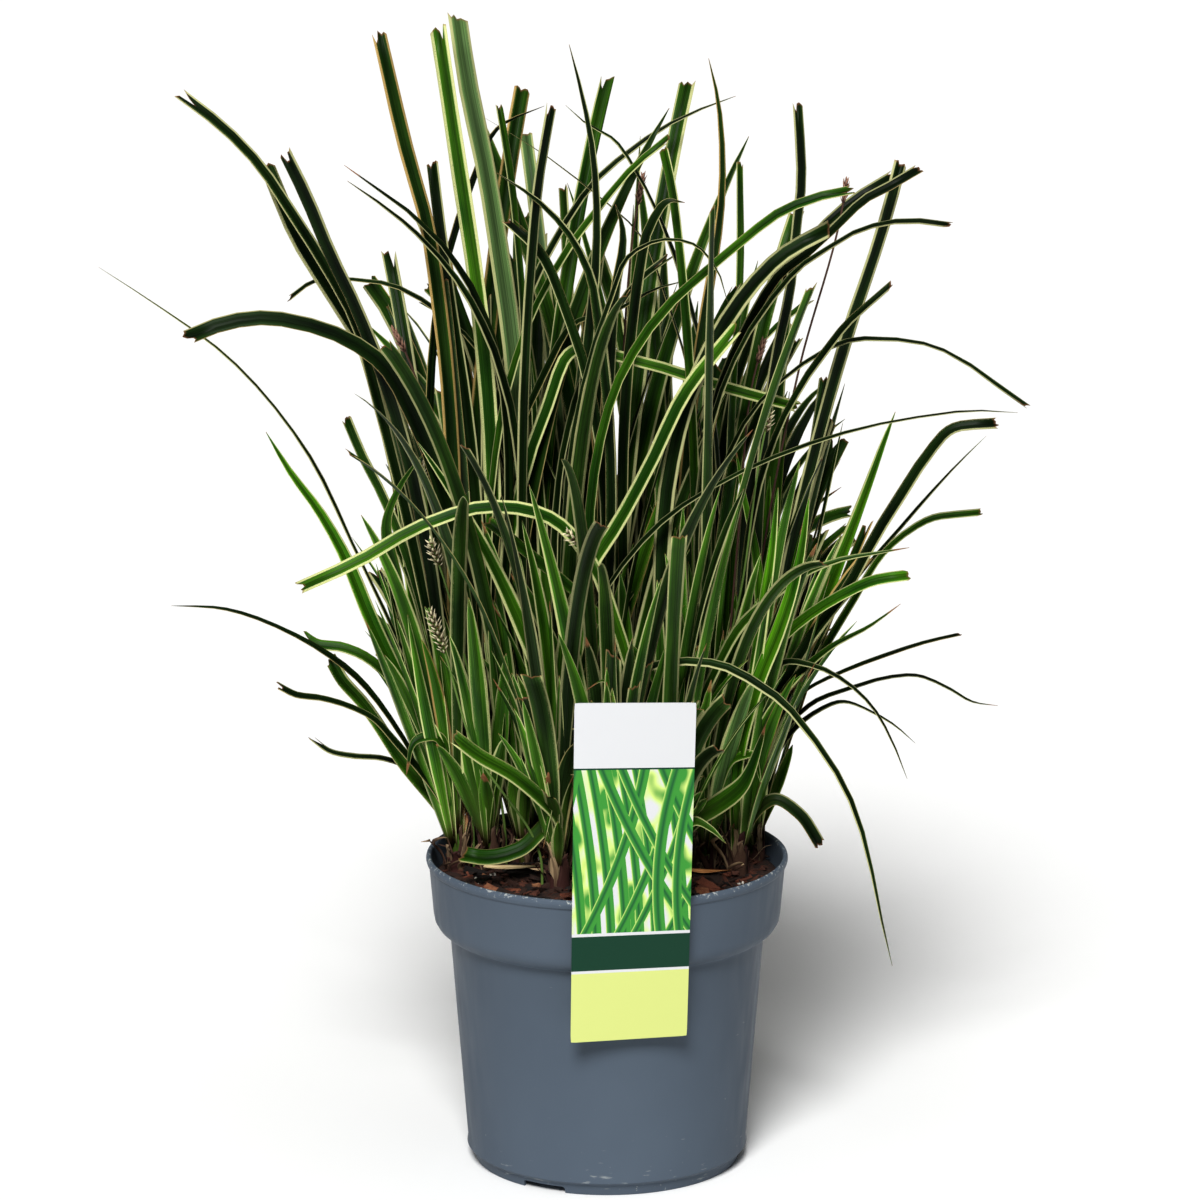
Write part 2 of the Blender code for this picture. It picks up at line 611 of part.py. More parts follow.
class Leaf:
    """A leaf's course, with the side and the upper direction at each station and its widths."""

    def __init__(self, points, uppers, width, pointed, slant=0.0):
        self.points = points
        self.tangents = tangents_of(points)
        self.width = width
        self.pointed = pointed
        self.slant = slant
        self.uppers = []
        for tangent, upper in zip(self.tangents, uppers):
            flat = upper - tangent * upper.dot(tangent)
            self.uppers.append(flat.normalized())

    def width_at(self, share):
        """The leaf's width at a share of its length: narrow at the root, and at the end when it is pointed."""
        grow = 0.34 + 0.66 * min(share / 0.34, 1.0)
        if self.pointed:
            return self.width * grow * min(1.0, ((1.0 - share) / 0.42) ** 0.75)
        return self.width * grow * (1.0 - 0.12 * share)

    def solid(self, grow=0.0, start=0.0):
        """Points and faces of the leaf, grown all round by a margin and started this far from its root."""
        points, faces = [], []
        count = len(self.points)
        whole = count - 1 if self.pointed else count
        skip = start / (self.points[1] - self.points[0]).length
        for index in range(whole):
            centre, tangent, upper = self.points[index], self.tangents[index], self.uppers[index]
            side = tangent.cross(upper)
            half = 0.5 * self.width_at(index / (count - 1)) + grow
            if index == 0 and start:
                centre = centre.lerp(self.points[1], skip)
                half = 0.5 * self.width_at(skip / (count - 1)) + grow
            ahead = Vector()
            if index == count - 1:
                ahead = tangent * (self.slant * half)
            points.append(centre - side * half + upper * grow + ahead)
            points.append(centre + side * half + upper * grow - ahead)
            points.append(centre - upper * (KEEL * min(1.0, 0.35 + half / 4.0) + grow))
        rings = whole
        for ring in range(rings - 1):
            low, high = 3 * ring, 3 * ring + 3
            for one, two in ((0, 1), (1, 2), (2, 0)):
                faces.append((low + one, low + two, high + two))
                faces.append((low + one, high + two, high + one))
        faces.append((2, 1, 0))
        last = 3 * (rings - 1)
        if self.pointed:
            points.append(self.points[-1] + self.tangents[-1] * grow)
            end = len(points) - 1
            faces += [(last, last + 1, end), (last + 1, last + 2, end), (last + 2, last, end)]
        else:
            faces.append((last, last + 1, last + 2))
        return points, faces


class Thicket:
    """What has been placed, which each new leaf passes clear of."""

    def __init__(self):
        self.items = []

    def add(self, owner, points, faces):
        self.items.append((owner, *bounds_of(points), BVHTree.FromPolygons(points, faces)))

    def is_clear(self, owner, points, faces, own=None):
        """Whether a shape passes clear of all that others own, and its own far part of what its owner has."""
        trees = {}
        for holder, low, high, tree in self.items:
            shape = (points, faces) if holder != owner else own
            if shape is None:
                continue
            key = holder != owner
            if key not in trees:
                trees[key] = (*bounds_of(shape[0]), BVHTree.FromPolygons(*shape))
            its_low, its_high, its_tree = trees[key]
            if any(its_low[i] > high[i] or its_high[i] < low[i] for i in range(3)):
                continue
            if its_tree.overlap(tree):
                return False
        return True


def bounds_of(points):
    return (
        [min(point[i] for point in points) for i in range(3)],
        [max(point[i] for point in points) for i in range(3)],
    )


def triangles_of(target):
    """Points in millimetres and triangles of an object."""
    target.data.calc_loop_triangles()
    points = [vertex.co / MM for vertex in target.data.vertices]
    return points, [tuple(triangle.vertices) for triangle in target.data.loop_triangles]


def tube(points, radii, sides, flare=None):
    """Points and faces of a closed tube along the points. Flare raises every other corner where it isn't 0."""
    tangents = tangents_of(points)
    across = Vector((0.0, 1.0, 0.0)) if abs(tangents[0].y) < 0.9 else Vector((1.0, 0.0, 0.0))
    found, faces = [], []
    for index, (centre, tangent, radius) in enumerate(zip(points, tangents, radii)):
        across = (across - tangent * across.dot(tangent)).normalized()
        other = tangent.cross(across)
        for side in range(sides):
            angle = math.tau * side / sides
            raised = flare[index] if flare and (side + index) % 2 else 0.0
            size = radius + raised
            place = centre + (across * math.cos(angle) + other * math.sin(angle)) * size
            found.append(place + tangent * (1.1 * raised))
    for ring in range(len(points) - 1):
        low, high = ring * sides, (ring + 1) * sides
        for side in range(sides):
            after = (side + 1) % sides
            faces.append((low + side, low + after, high + after))
            faces.append((low + side, high + after, high + side))
    faces.append(tuple(reversed(range(sides))))
    faces.append(tuple(range(len(found) - sides, len(found))))
    return found, faces


def stalk_course(row, aside):
    """The stalk's foot, on this side of the nearest shoot, and its dense course from the foot to the head's end."""
    _, depth, _, _, *marks = row
    near = min(SHOOTS, key=lambda shoot: abs(shoot[1] - 0.72 * marks[-1][0]) + 0.5 * abs(shoot[2] - depth))
    foot = Vector((near[1] + aside * (near[3] + 2.4), near[2] + 2.0, SOIL_TOP))
    low_across, low_up = seen((foot.x, foot.y, SOIL_TOP + 8.0))
    flat = [Vector((low_across, low_up))] + [Vector(mark) for mark in reversed(marks)]
    course = smooth_course(flat, Vector((0.0, 1.0)))
    along = lengths_along(course)
    found = []
    for point, length in zip(course, along):
        share = length / along[-1]
        found.append(from_seen(point.x, point.y, foot.y + (depth - foot.y) * share))
    return foot, found


def stalk_shape(row, shift, aside):
    """Points, faces and foot of one flower stalk, moved back by the shift."""
    name, depth, head_long, head_wide, *marks = row
    foot, course = stalk_course((name, depth + shift, head_long, head_wide, *marks), aside)
    along = lengths_along(course)
    neck = along[-1] - head_long
    stem = [point for point, length in zip(course, along) if length < neck - 2.0]
    points = [Vector((foot.x, foot.y, SOIL_TOP - 18.0))] + spaced(stem, 4)
    radii = [0.8] * 6
    flare = [0.0] * 6
    head_from = course[next(index for index, length in enumerate(along) if length >= neck)]
    for step in range(7):
        share = step / 6
        points.append(head_from.lerp(course[-1], share))
        radii.append(max(0.5, 0.30 * head_wide * math.sin(math.pi * (0.12 + 0.83 * share))))
        flare.append(0.0 if step in (0, 6) else 0.22 * head_wide)
    return tube(points, radii, 6, flare[: len(points)]) + (foot,)


def place_stalks(thicket):
    """The flower stalks, each moved back or forward until it stands clear."""
    found = []
    for row in STALKS:
        for shift, aside in [(shift, aside) for shift in DEPTH_TRIES for aside in (1.0, -1.0)]:
            points, faces, foot = stalk_shape(row, shift, aside)
            if thicket.is_clear(row[0], points, faces):
                thicket.add(row[0], points, faces)
                found.append((row[0], points, faces, foot))
                break
    return found


def sheath_solid(shoot, grow=0.0):
    """Points and faces of a shoot's bundle of sheaths."""
    _, x, y, radius, high, _ = shoot
    points, faces = [], []
    levels = ((ROOT_LOW - grow, radius * 0.9), (SOIL_TOP + 6.0, radius), (high + grow, radius * 0.72))
    for level, size in levels:
        for side in range(SHEATH_SIDES):
            angle = math.tau * (side + 0.3) / SHEATH_SIDES
            points.append(Vector((x + (size + grow) * math.cos(angle), y + (size + grow) * math.sin(angle), level)))
    for ring in range(2):
        low, top = ring * SHEATH_SIDES, (ring + 1) * SHEATH_SIDES
        for side in range(SHEATH_SIDES):
            after = (side + 1) % SHEATH_SIDES
            faces.append((low + side, low + after, top + after))
            faces.append((low + side, top + after, top + side))
    faces.append(tuple(reversed(range(SHEATH_SIDES))))
    faces.append(tuple(range(2 * SHEATH_SIDES, 3 * SHEATH_SIDES)))
    return points, faces


def root_of(shoot, heading, share, high):
    """Where a leaf starts inside its shoot's sheaths, towards its heading."""
    _, x, y, radius, _, _ = shoot
    return Vector((x + radius * share * math.cos(heading), y + radius * share * math.sin(heading), high))


def nearest_shoot(marks, depth):
    """The shoot that a leaf seen on this course most likely grows from."""
    low, above = marks[-1], marks[-2]
    slope = (low[0] - above[0]) / min(low[1] - above[1], -4.0)
    slope = max(-1.0, min(1.0, slope))
    goal = low[0] - slope * min(low[1] - 175.0, 120.0) * 0.4
    return min(SHOOTS, key=lambda shoot: abs(shoot[1] - goal) + 0.45 * abs(shoot[2] - 0.6 * depth))


def seen_leaf(row, shift, draw_side):
    """A leaf from its seen course, with its end moved back by the shift."""
    seen_wide, depth, pointed, *marks = row
    depth += shift
    shoot = nearest_shoot(marks, row[1])
    heading = math.atan2(0.4 * depth - shoot[2], marks[-1][0] - shoot[1])
    root = root_of(shoot, heading, 0.55, LEAF_START)
    flat = [Vector(seen(root))] + [Vector(mark) for mark in reversed(marks)]
    course = smooth_course(flat, Vector((0.0, 1.0)))
    along = lengths_along(course)
    solid = []
    for point, length in zip(course, along):
        share = length / along[-1]
        solid.append(from_seen(point.x, point.y, root.y + (depth - root.y) * share**1.2))
    points = spaced(solid, 7 if len(marks) > 5 else 5, BEND)
    wide = max(seen_wide, 6.0) if seen_wide > 2.9 else seen_wide + 1.5
    turn = math.acos(min(0.97, max(0.05, (seen_wide - 0.9) / wide)))
    uppers, rise = [], 0.0
    for point, tangent in zip(points, tangents_of(points)):
        towards = (Vector((0.0, -EYE_AWAY, EYE_HIGH)) - point).normalized()
        towards = (towards - tangent * towards.dot(tangent)).normalized()
        across = tangent.cross(towards)
        rise += across.z
        uppers.append((towards, across))
    sign = draw_side if abs(rise) < 1.5 else math.copysign(1.0, rise)
    uppers = [towards * math.cos(turn) + across * (sign * math.sin(turn)) for towards, across in uppers]
    return shoot[0], Leaf(points, uppers, wide, pointed, 0.35 * draw_side)


def drawn_leaf(shoot, turn, attempt):
    """One filling leaf of a shoot, by a draw seeded with its shoot, its turn and the attempt."""
    name, x, y, _, _, _ = shoot
    draw = random.Random(f"{LEAF_SEED} {name} {turn} {attempt}")
    outward = math.atan2(y - 8.0, x) if math.hypot(x, y) > 25.0 else draw.uniform(-math.pi, math.pi)
    heading = outward + draw.gauss(0.0, 1.15)
    young = draw.random() < 0.42
    long = draw.uniform(95.0, 205.0) if young else draw.uniform(200.0, 400.0)
    start = math.radians(draw.uniform(2.0, 15.0))
    end = math.radians(draw.uniform(8.0, 40.0) if young else draw.uniform(20.0, 96.0))
    wide = draw.uniform(6.0, 9.0) if young else draw.uniform(6.5, 9.5)
    twist = draw.uniform(-1.1, 1.1)
    facing = draw.uniform(-0.7, 0.7)
    stations = 4 if young else 5
    pointed = young or draw.random() < 0.45
    root = root_of(shoot, heading, draw.uniform(0.2, 0.8), LEAF_START + draw.uniform(-6.0, 10.0))
    points, uppers = [root], []
    fine = 8 * stations
    for step in range(fine):
        lean = start + (end - start) * ((step + 0.5) / fine) ** 1.7
        flow = Vector((math.sin(lean) * math.cos(heading), math.sin(lean) * math.sin(heading), math.cos(lean)))
        points.append(points[-1] + flow * (long / fine))
    points = spaced(points, stations, BEND)
    for index, tangent in enumerate(tangents_of(points)):
        side = Vector((-math.sin(heading), math.cos(heading), 0.0))
        upper = side.cross(tangent)
        if upper.z < 0:
            upper = -upper
        angle = facing + twist * index / stations
        uppers.append(upper * math.cos(angle) + side * math.sin(angle))
    return Leaf(points, uppers, wide, pointed, draw.uniform(-0.5, 0.5))


def inside_crown(leaf):
    """Whether all of a leaf is seen within the crown's outline."""
    for point in leaf.points[1:]:
        across, up = seen(point)
        if up > CROWN[-1][0]:
            return False
        for (low, left, right), (high, left_high, right_high) in zip(CROWN, CROWN[1:]):
            if low <= up <= high:
                share = (up - low) / (high - low)
                if not left + (left_high - left) * share <= across <= right + (right_high - right) * share:
                    return False
    return True


def place_leaves(thicket):
    """All the leaves by the shoot that they grow from."""
    leaves = {shoot[0]: [] for shoot in SHOOTS}

    def take(name, leaf, own):
        points, faces = leaf.solid(grow=GAP + 0.1)
        far = leaf.solid(grow=0.1, start=OWN_START) if own else None
        if not thicket.is_clear(name, points, faces, far):
            return False
        leaves[name].append(leaf)
        thicket.add(name, *leaf.solid())
        return True

    for number, row in enumerate(SEEN_LEAVES):
        side = random.Random(f"{LEAF_SEED} {number}").choice((-1.0, 1.0))
        tries = [seen_leaf(row, shift, side) for shift in DEPTH_TRIES]
        any(take(*leaf, own) for own in (True, False) for leaf in tries)
    for turn in range(max(shoot[5] for shoot in SHOOTS)):
        for shoot in SHOOTS:
            if turn >= shoot[5]:
                continue
            for attempt in range(TRIES):
                leaf = drawn_leaf(shoot, turn, attempt)
                if inside_crown(leaf) and take(shoot[0], leaf, True):
                    break
    return leaves


def make_shoot(shoot, leaves):
    """One shoot: its bundle of sheaths with the leaves fused to it."""
    body = mesh_object(shoot[0], *sheath_solid(shoot), "sedge leaf")
    tools = [mesh_object("leaf", *leaf.solid(), None) for leaf in leaves]
    combine(body, tools, "UNION")
    keep_main_body(body)
    return body


def dry_leaf(name, middle, reach, turn, wide, paint):
    """A dry leaf that lies on a bark chip."""
    low = Vector((middle[0] - reach * math.cos(turn), middle[1] - reach * math.sin(turn), middle[2] + 0.6))
    high = Vector((middle[0] + reach * math.cos(turn), middle[1] + reach * math.sin(turn), middle[2] + 1.4))
    points = [low, low.lerp(middle, 0.5), middle, middle.lerp(high, 0.5), high]
    points[1].z = middle[2] + 0.1
    points[3].z = middle[2] + 0.3
    leaf = Leaf(points, [Vector((0.0, 0.0, 1.0))] * 5, wide, True)
    return leaf, name, paint


def build():
    """Makes every piece of the plant and its pot."""
    for old in list(bpy.data.objects):
        bpy.data.objects.remove(old)
    thicket = Thicket()
    pot = make_pot()
    label = make_label()
    for piece in (pot, label):
        thicket.add(piece.name, *triangles_of(piece))
    rest = CHIP_TOP + GAP + 0.95
    dry = [
        dry_leaf("dry_leaf_straw", Vector((-44.0, -8.0, rest)), 20.0, 0.05, 4.5, "straw dry leaf"),
        dry_leaf("dry_leaf_orange", Vector((53.5, -16.0, rest)), 11.0, -0.08, 4.5, "orange dry leaf"),
    ]
    for leaf, name, _ in dry:
        thicket.add(name, *leaf.solid(grow=GAP))
    for shoot in SHOOTS:
        thicket.add(shoot[0], *sheath_solid(shoot))
    stalks = place_stalks(thicket)
    holes = [tongue_slot()]
    for shoot in SHOOTS:
        points, faces = sheath_solid(shoot, GAP)
        holes.append(mesh_object("hole", points, faces, None))
    for _, _, _, foot in stalks:
        holes.append(prism("hole", foot, 1.4, SOIL_TOP - 19.0, SOIL_TOP + 9.0, 6))
    soil = make_soil(holes)
    thicket.add("soil", *triangles_of(soil))
    leaves = place_leaves(thicket)
    for shoot in SHOOTS:
        make_shoot(shoot, leaves[shoot[0]])
    for name, points, faces, _ in stalks:
        paint = "pale sedge spikelets" if "brown" not in name else "dry sedge spikelets"
        mesh_object(name, points, faces, paint)
    for leaf, name, paint in dry:
        mesh_object(name, *leaf.solid(), paint)


build()
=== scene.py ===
"""The dressed sedge: its leaves, sheaths, flower stalks, compost, pot and label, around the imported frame.

Lengths in the growth rule are in millimetres. Meshes and materials are in metres, with the pot's axis on Z.
"""

import json
import logging
import math
import random
from dataclasses import dataclass, field
from enum import Enum
from typing import Any, Callable, Optional, Sequence

import bpy
import numpy as np
from mathutils import Euler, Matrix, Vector, noise
from mathutils.bvhtree import BVHTree

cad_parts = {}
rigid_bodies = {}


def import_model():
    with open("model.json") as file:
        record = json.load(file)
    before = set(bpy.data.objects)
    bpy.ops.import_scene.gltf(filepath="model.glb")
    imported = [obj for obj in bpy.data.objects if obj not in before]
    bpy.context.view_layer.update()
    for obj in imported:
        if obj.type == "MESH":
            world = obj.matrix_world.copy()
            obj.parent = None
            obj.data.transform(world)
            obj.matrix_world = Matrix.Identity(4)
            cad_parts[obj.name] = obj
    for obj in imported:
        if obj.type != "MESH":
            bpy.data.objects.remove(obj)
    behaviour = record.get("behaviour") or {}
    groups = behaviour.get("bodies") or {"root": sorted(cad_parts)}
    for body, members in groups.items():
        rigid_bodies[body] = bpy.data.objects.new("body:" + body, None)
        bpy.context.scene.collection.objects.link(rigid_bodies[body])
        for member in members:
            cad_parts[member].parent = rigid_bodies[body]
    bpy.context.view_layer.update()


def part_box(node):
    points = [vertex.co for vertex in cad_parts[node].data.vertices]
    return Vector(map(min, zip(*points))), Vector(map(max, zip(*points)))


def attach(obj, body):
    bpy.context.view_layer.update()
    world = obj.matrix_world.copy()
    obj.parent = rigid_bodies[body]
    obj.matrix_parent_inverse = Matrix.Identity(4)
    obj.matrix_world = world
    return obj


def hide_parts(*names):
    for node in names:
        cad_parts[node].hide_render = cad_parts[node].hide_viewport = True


LOG = logging.getLogger("sedge")
MM = 0.001

Mesh = tuple[np.ndarray, list[tuple[int, ...]]]


# Shop tools: colours, nodes and the few mesh steps that every class uses.


def linear(code: str) -> tuple[float, float, float, float]:
    """An sRGB hex colour as linear red, green, blue and alpha.

    Args:
        code: Six hex digits.

    Returns:
        The four linear values, alpha 1.
    """
    values = [int(code[at : at + 2], 16) / 255 for at in (0, 2, 4)]
    red, green, blue = [v / 12.92 if v <= 0.04045 else ((v + 0.055) / 1.055) ** 2.4 for v in values]
    return red, green, blue, 1.0


def add_node(
    tree: bpy.types.NodeTree,
    kind: str,
    settings: Optional[dict[Any, Any]] = None,
    links: Optional[dict[Any, bpy.types.NodeSocket]] = None,
) -> bpy.types.Node:
    """Adds one node with its settings and links.

    Args:
        tree: The material's node tree.
        kind: The node's type without the ShaderNode prefix.
        settings: Values by property name, input name or input number. "stops" holds a ramp's places and colours.
        links: The sockets that feed inputs, by input name or number.

    Returns:
        The new node.
    """
    node = tree.nodes.new("ShaderNode" + kind)
    for key, value in (settings or {}).items():
        if key == "stops":
            ramp = node.color_ramp
            while len(ramp.elements) < len(value):
                ramp.elements.new(0.5)
            for element, (place, code) in zip(ramp.elements, value):
                element.position = place
                element.color = linear(code)
        elif isinstance(key, str) and key not in node.inputs:
            setattr(node, key, value)
        else:
            node.inputs[key].default_value = value
    for key, socket in (links or {}).items():
        tree.links.new(socket, node.inputs[key])
    return node


def new_material(name: str) -> tuple[bpy.types.Material, bpy.types.NodeTree, bpy.types.Node]:
    """A material with only its Principled shader.

    Args:
        name: The finish's common name.

    Returns:
        The material, its node tree and the shader node.
    """
    made = bpy.data.materials.new(name)
    made.use_nodes = True
    return made, made.node_tree, made.node_tree.nodes["Principled BSDF"]


def deselect() -> None:
    """Leaves nothing selected, so that an operator acts only on what it is meant for."""
    for item in bpy.context.view_layer.objects:
        item.select_set(False)


def apply_modifiers(piece: bpy.types.Object) -> None:
    """Applies all of a piece's modifiers in order."""
    deselect()
    piece.select_set(True)
    bpy.context.view_layer.objects.active = piece
    for step in list(piece.modifiers):
        bpy.ops.object.modifier_apply(modifier=step.name)


def sit_at_origin(piece: bpy.types.Object) -> None:
    """Moves a piece's place, turn and size into its mesh."""
    deselect()
    piece.select_set(True)
    bpy.context.view_layer.objects.active = piece
    bpy.ops.object.transform_apply(location=True, rotation=True, scale=True)


def take_mesh(piece: bpy.types.Object) -> Mesh:
    """Reads a piece's points and faces, then removes the piece.

    Args:
        piece: A finished pattern that was modelled once to be copied.

    Returns:
        Its points as an array and its faces.
    """
    mesh = piece.data
    points = np.empty(len(mesh.vertices) * 3)
    mesh.vertices.foreach_get("co", points)
    faces = [tuple(face.vertices) for face in mesh.polygons]
    bpy.data.objects.remove(piece)
    bpy.data.meshes.remove(mesh)
    return points.reshape(-1, 3), faces


@dataclass
class Pile:
    """Copies of modelled patterns gathered into one mesh, with the values that their material reads."""

    name: str
    points: list[np.ndarray] = field(default_factory=list)
    faces: list[tuple[int, ...]] = field(default_factory=list)
    values: dict[str, list[np.ndarray]] = field(default_factory=dict)
    count: int = 0

    def add(self, points: np.ndarray, faces: Sequence[tuple[int, ...]], **values: np.ndarray) -> None:
        """Adds one copy.

        Args:
            points: The copy's points in millimetres.
            faces: Its faces.
            values: For each attribute, three numbers a point.
        """
        self.points.append(points)
        self.faces.extend(tuple(index + self.count for index in face) for face in faces)
        for key, value in values.items():
            self.values.setdefault(key, []).append(value)
        self.count += len(points)

    def build(self, material: bpy.types.Material, smooth: bool = True) -> bpy.types.Object:
        """Makes the gathered copies one piece.

        Args:
            material: The finish for all of it.
            smooth: Whether its faces are shaded smooth.

        Returns:
            The new object, at the origin.
        """
        mesh = bpy.data.meshes.new(self.name)
        places = np.concatenate(self.points) * MM
        mesh.from_pydata(places.tolist(), [], self.faces)
        for key, parts in self.values.items():
            layer = mesh.attributes.new(key, "FLOAT_VECTOR", "POINT")
            layer.data.foreach_set("vector", np.concatenate(parts).astype(np.float32).ravel())
        mesh.polygons.foreach_set("use_smooth", [smooth] * len(mesh.polygons))
        mesh.materials.append(material)
        mesh.update()
        piece = bpy.data.objects.new(self.name, mesh)
        bpy.context.scene.collection.objects.link(piece)
        return piece


def settle(piece: bpy.types.Object, slot: str, *nodes: str) -> None:
    """Makes a piece ride on the pot's body and stand for its solids.

    Args:
        piece: The finished piece.
        slot: Not used.
        nodes: The solids that it replaces.
    """
    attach(piece, "root")
    if nodes:
        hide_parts(*nodes)
    LOG.info("%s: %d faces", piece.name, len(piece.data.polygons))


def climb(name: str, profile: Sequence[tuple[float, float]], sides: int) -> bpy.types.Object:
    """Draws a turned body up ring by ring from (radius, height) points in millimetres.

    Args:
        name: The body's name.
        profile: Its outline from the middle of the underside round to the middle of the inside.
        sides: The number of sides of each ring.

    Returns:
        The closed body.
    """
    deselect()
    radius, high = profile[0]
    bpy.ops.mesh.primitive_circle_add(
        vertices=sides, radius=radius * MM, fill_type="NGON", location=(0, 0, high * MM)
    )
    body = bpy.context.object
    body.name = body.data.name = name
    bpy.ops.object.transform_apply(location=True)
    bpy.ops.object.mode_set(mode="EDIT")
    bpy.ops.mesh.select_mode(type="EDGE")
    bpy.ops.mesh.select_all(action="SELECT")
    for (radius, high), (wider, higher) in zip(profile, profile[1:]):
        bpy.ops.mesh.extrude_edges_move(TRANSFORM_OT_translate={"value": (0, 0, (higher - high) * MM)})
        size = wider / radius
        bpy.ops.transform.resize(value=(size, size, 1), center_override=(0, 0, higher * MM))
    bpy.ops.mesh.edge_face_add()
    bpy.ops.mesh.select_all(action="SELECT")
    bpy.ops.mesh.normals_make_consistent(inside=False)
    bpy.ops.object.mode_set(mode="OBJECT")
    return body




# The growth rule: the same values, draws and order of placing as the solids have.

GAP = 0.3
CHIP_TOP = 156.4
POT_HIGH = 164.0
SOIL_TOP = 152.0
LEAF_START = 168.0
LEAF_SEED = 23
KEEL = 1.15
ROOT_LOW = 134.0
SHEATH_SIDES = 6
DEPTH_TRIES = (0, 9, -9, 18, -18, 27, -27, 38, -38, 50, -50, 62, 74)
TRIES = 60
OWN_START = 26.0
BEND = 90.0
EYE_AWAY = 2600.0
EYE_HIGH = 896.5
FINE_STATIONS = 22

Shoot = tuple[str, float, float, float, float, int]

SHOOTS = (
    ("shoot_left_edge", -78.0, 6.0, 6.0, 190.0, 9),
    ("shoot_left", -61.0, 7.0, 6.0, 186.0, 10),
    ("shoot_left_inner", -44.0, 18.0, 6.0, 188.0, 11),
    ("shoot_front_left", -25.0, -26.0, 6.0, 182.0, 10),
    ("shoot_front", 2.0, -38.0, 6.0, 182.0, 10),
    ("shoot_front_right", 30.0, -28.0, 6.0, 182.0, 10),
    ("shoot_right", 50.0, 4.0, 6.5, 184.0, 10),
    ("shoot_right_outer", 68.0, -1.0, 6.0, 186.0, 10),
    ("shoot_right_edge", 77.0, 27.0, 6.0, 192.0, 9),
    ("shoot_right_inner", 60.0, 30.0, 6.0, 188.0, 10),
    ("shoot_back_left", -68.0, 40.0, 6.0, 190.0, 9),
    ("shoot_middle_left", -24.0, 4.0, 6.5, 186.0, 11),
    ("shoot_middle_front", -4.0, -12.0, 6.0, 184.0, 10),
    ("shoot_middle", 12.0, 12.0, 6.5, 186.0, 11),
    ("shoot_middle_right", 32.0, 22.0, 6.5, 186.0, 11),
    ("shoot_middle_back", -10.0, 34.0, 6.5, 188.0, 11),
    ("shoot_left_back", -42.0, 48.0, 6.0, 188.0, 10),
    ("shoot_back_inner", -20.0, 64.0, 6.0, 190.0, 10),
    ("shoot_back", 8.0, 58.0, 6.0, 190.0, 10),
    ("shoot_back_right", 32.0, 62.0, 6.0, 190.0, 10),
    ("shoot_right_back", 54.0, 56.0, 6.0, 190.0, 10),
)

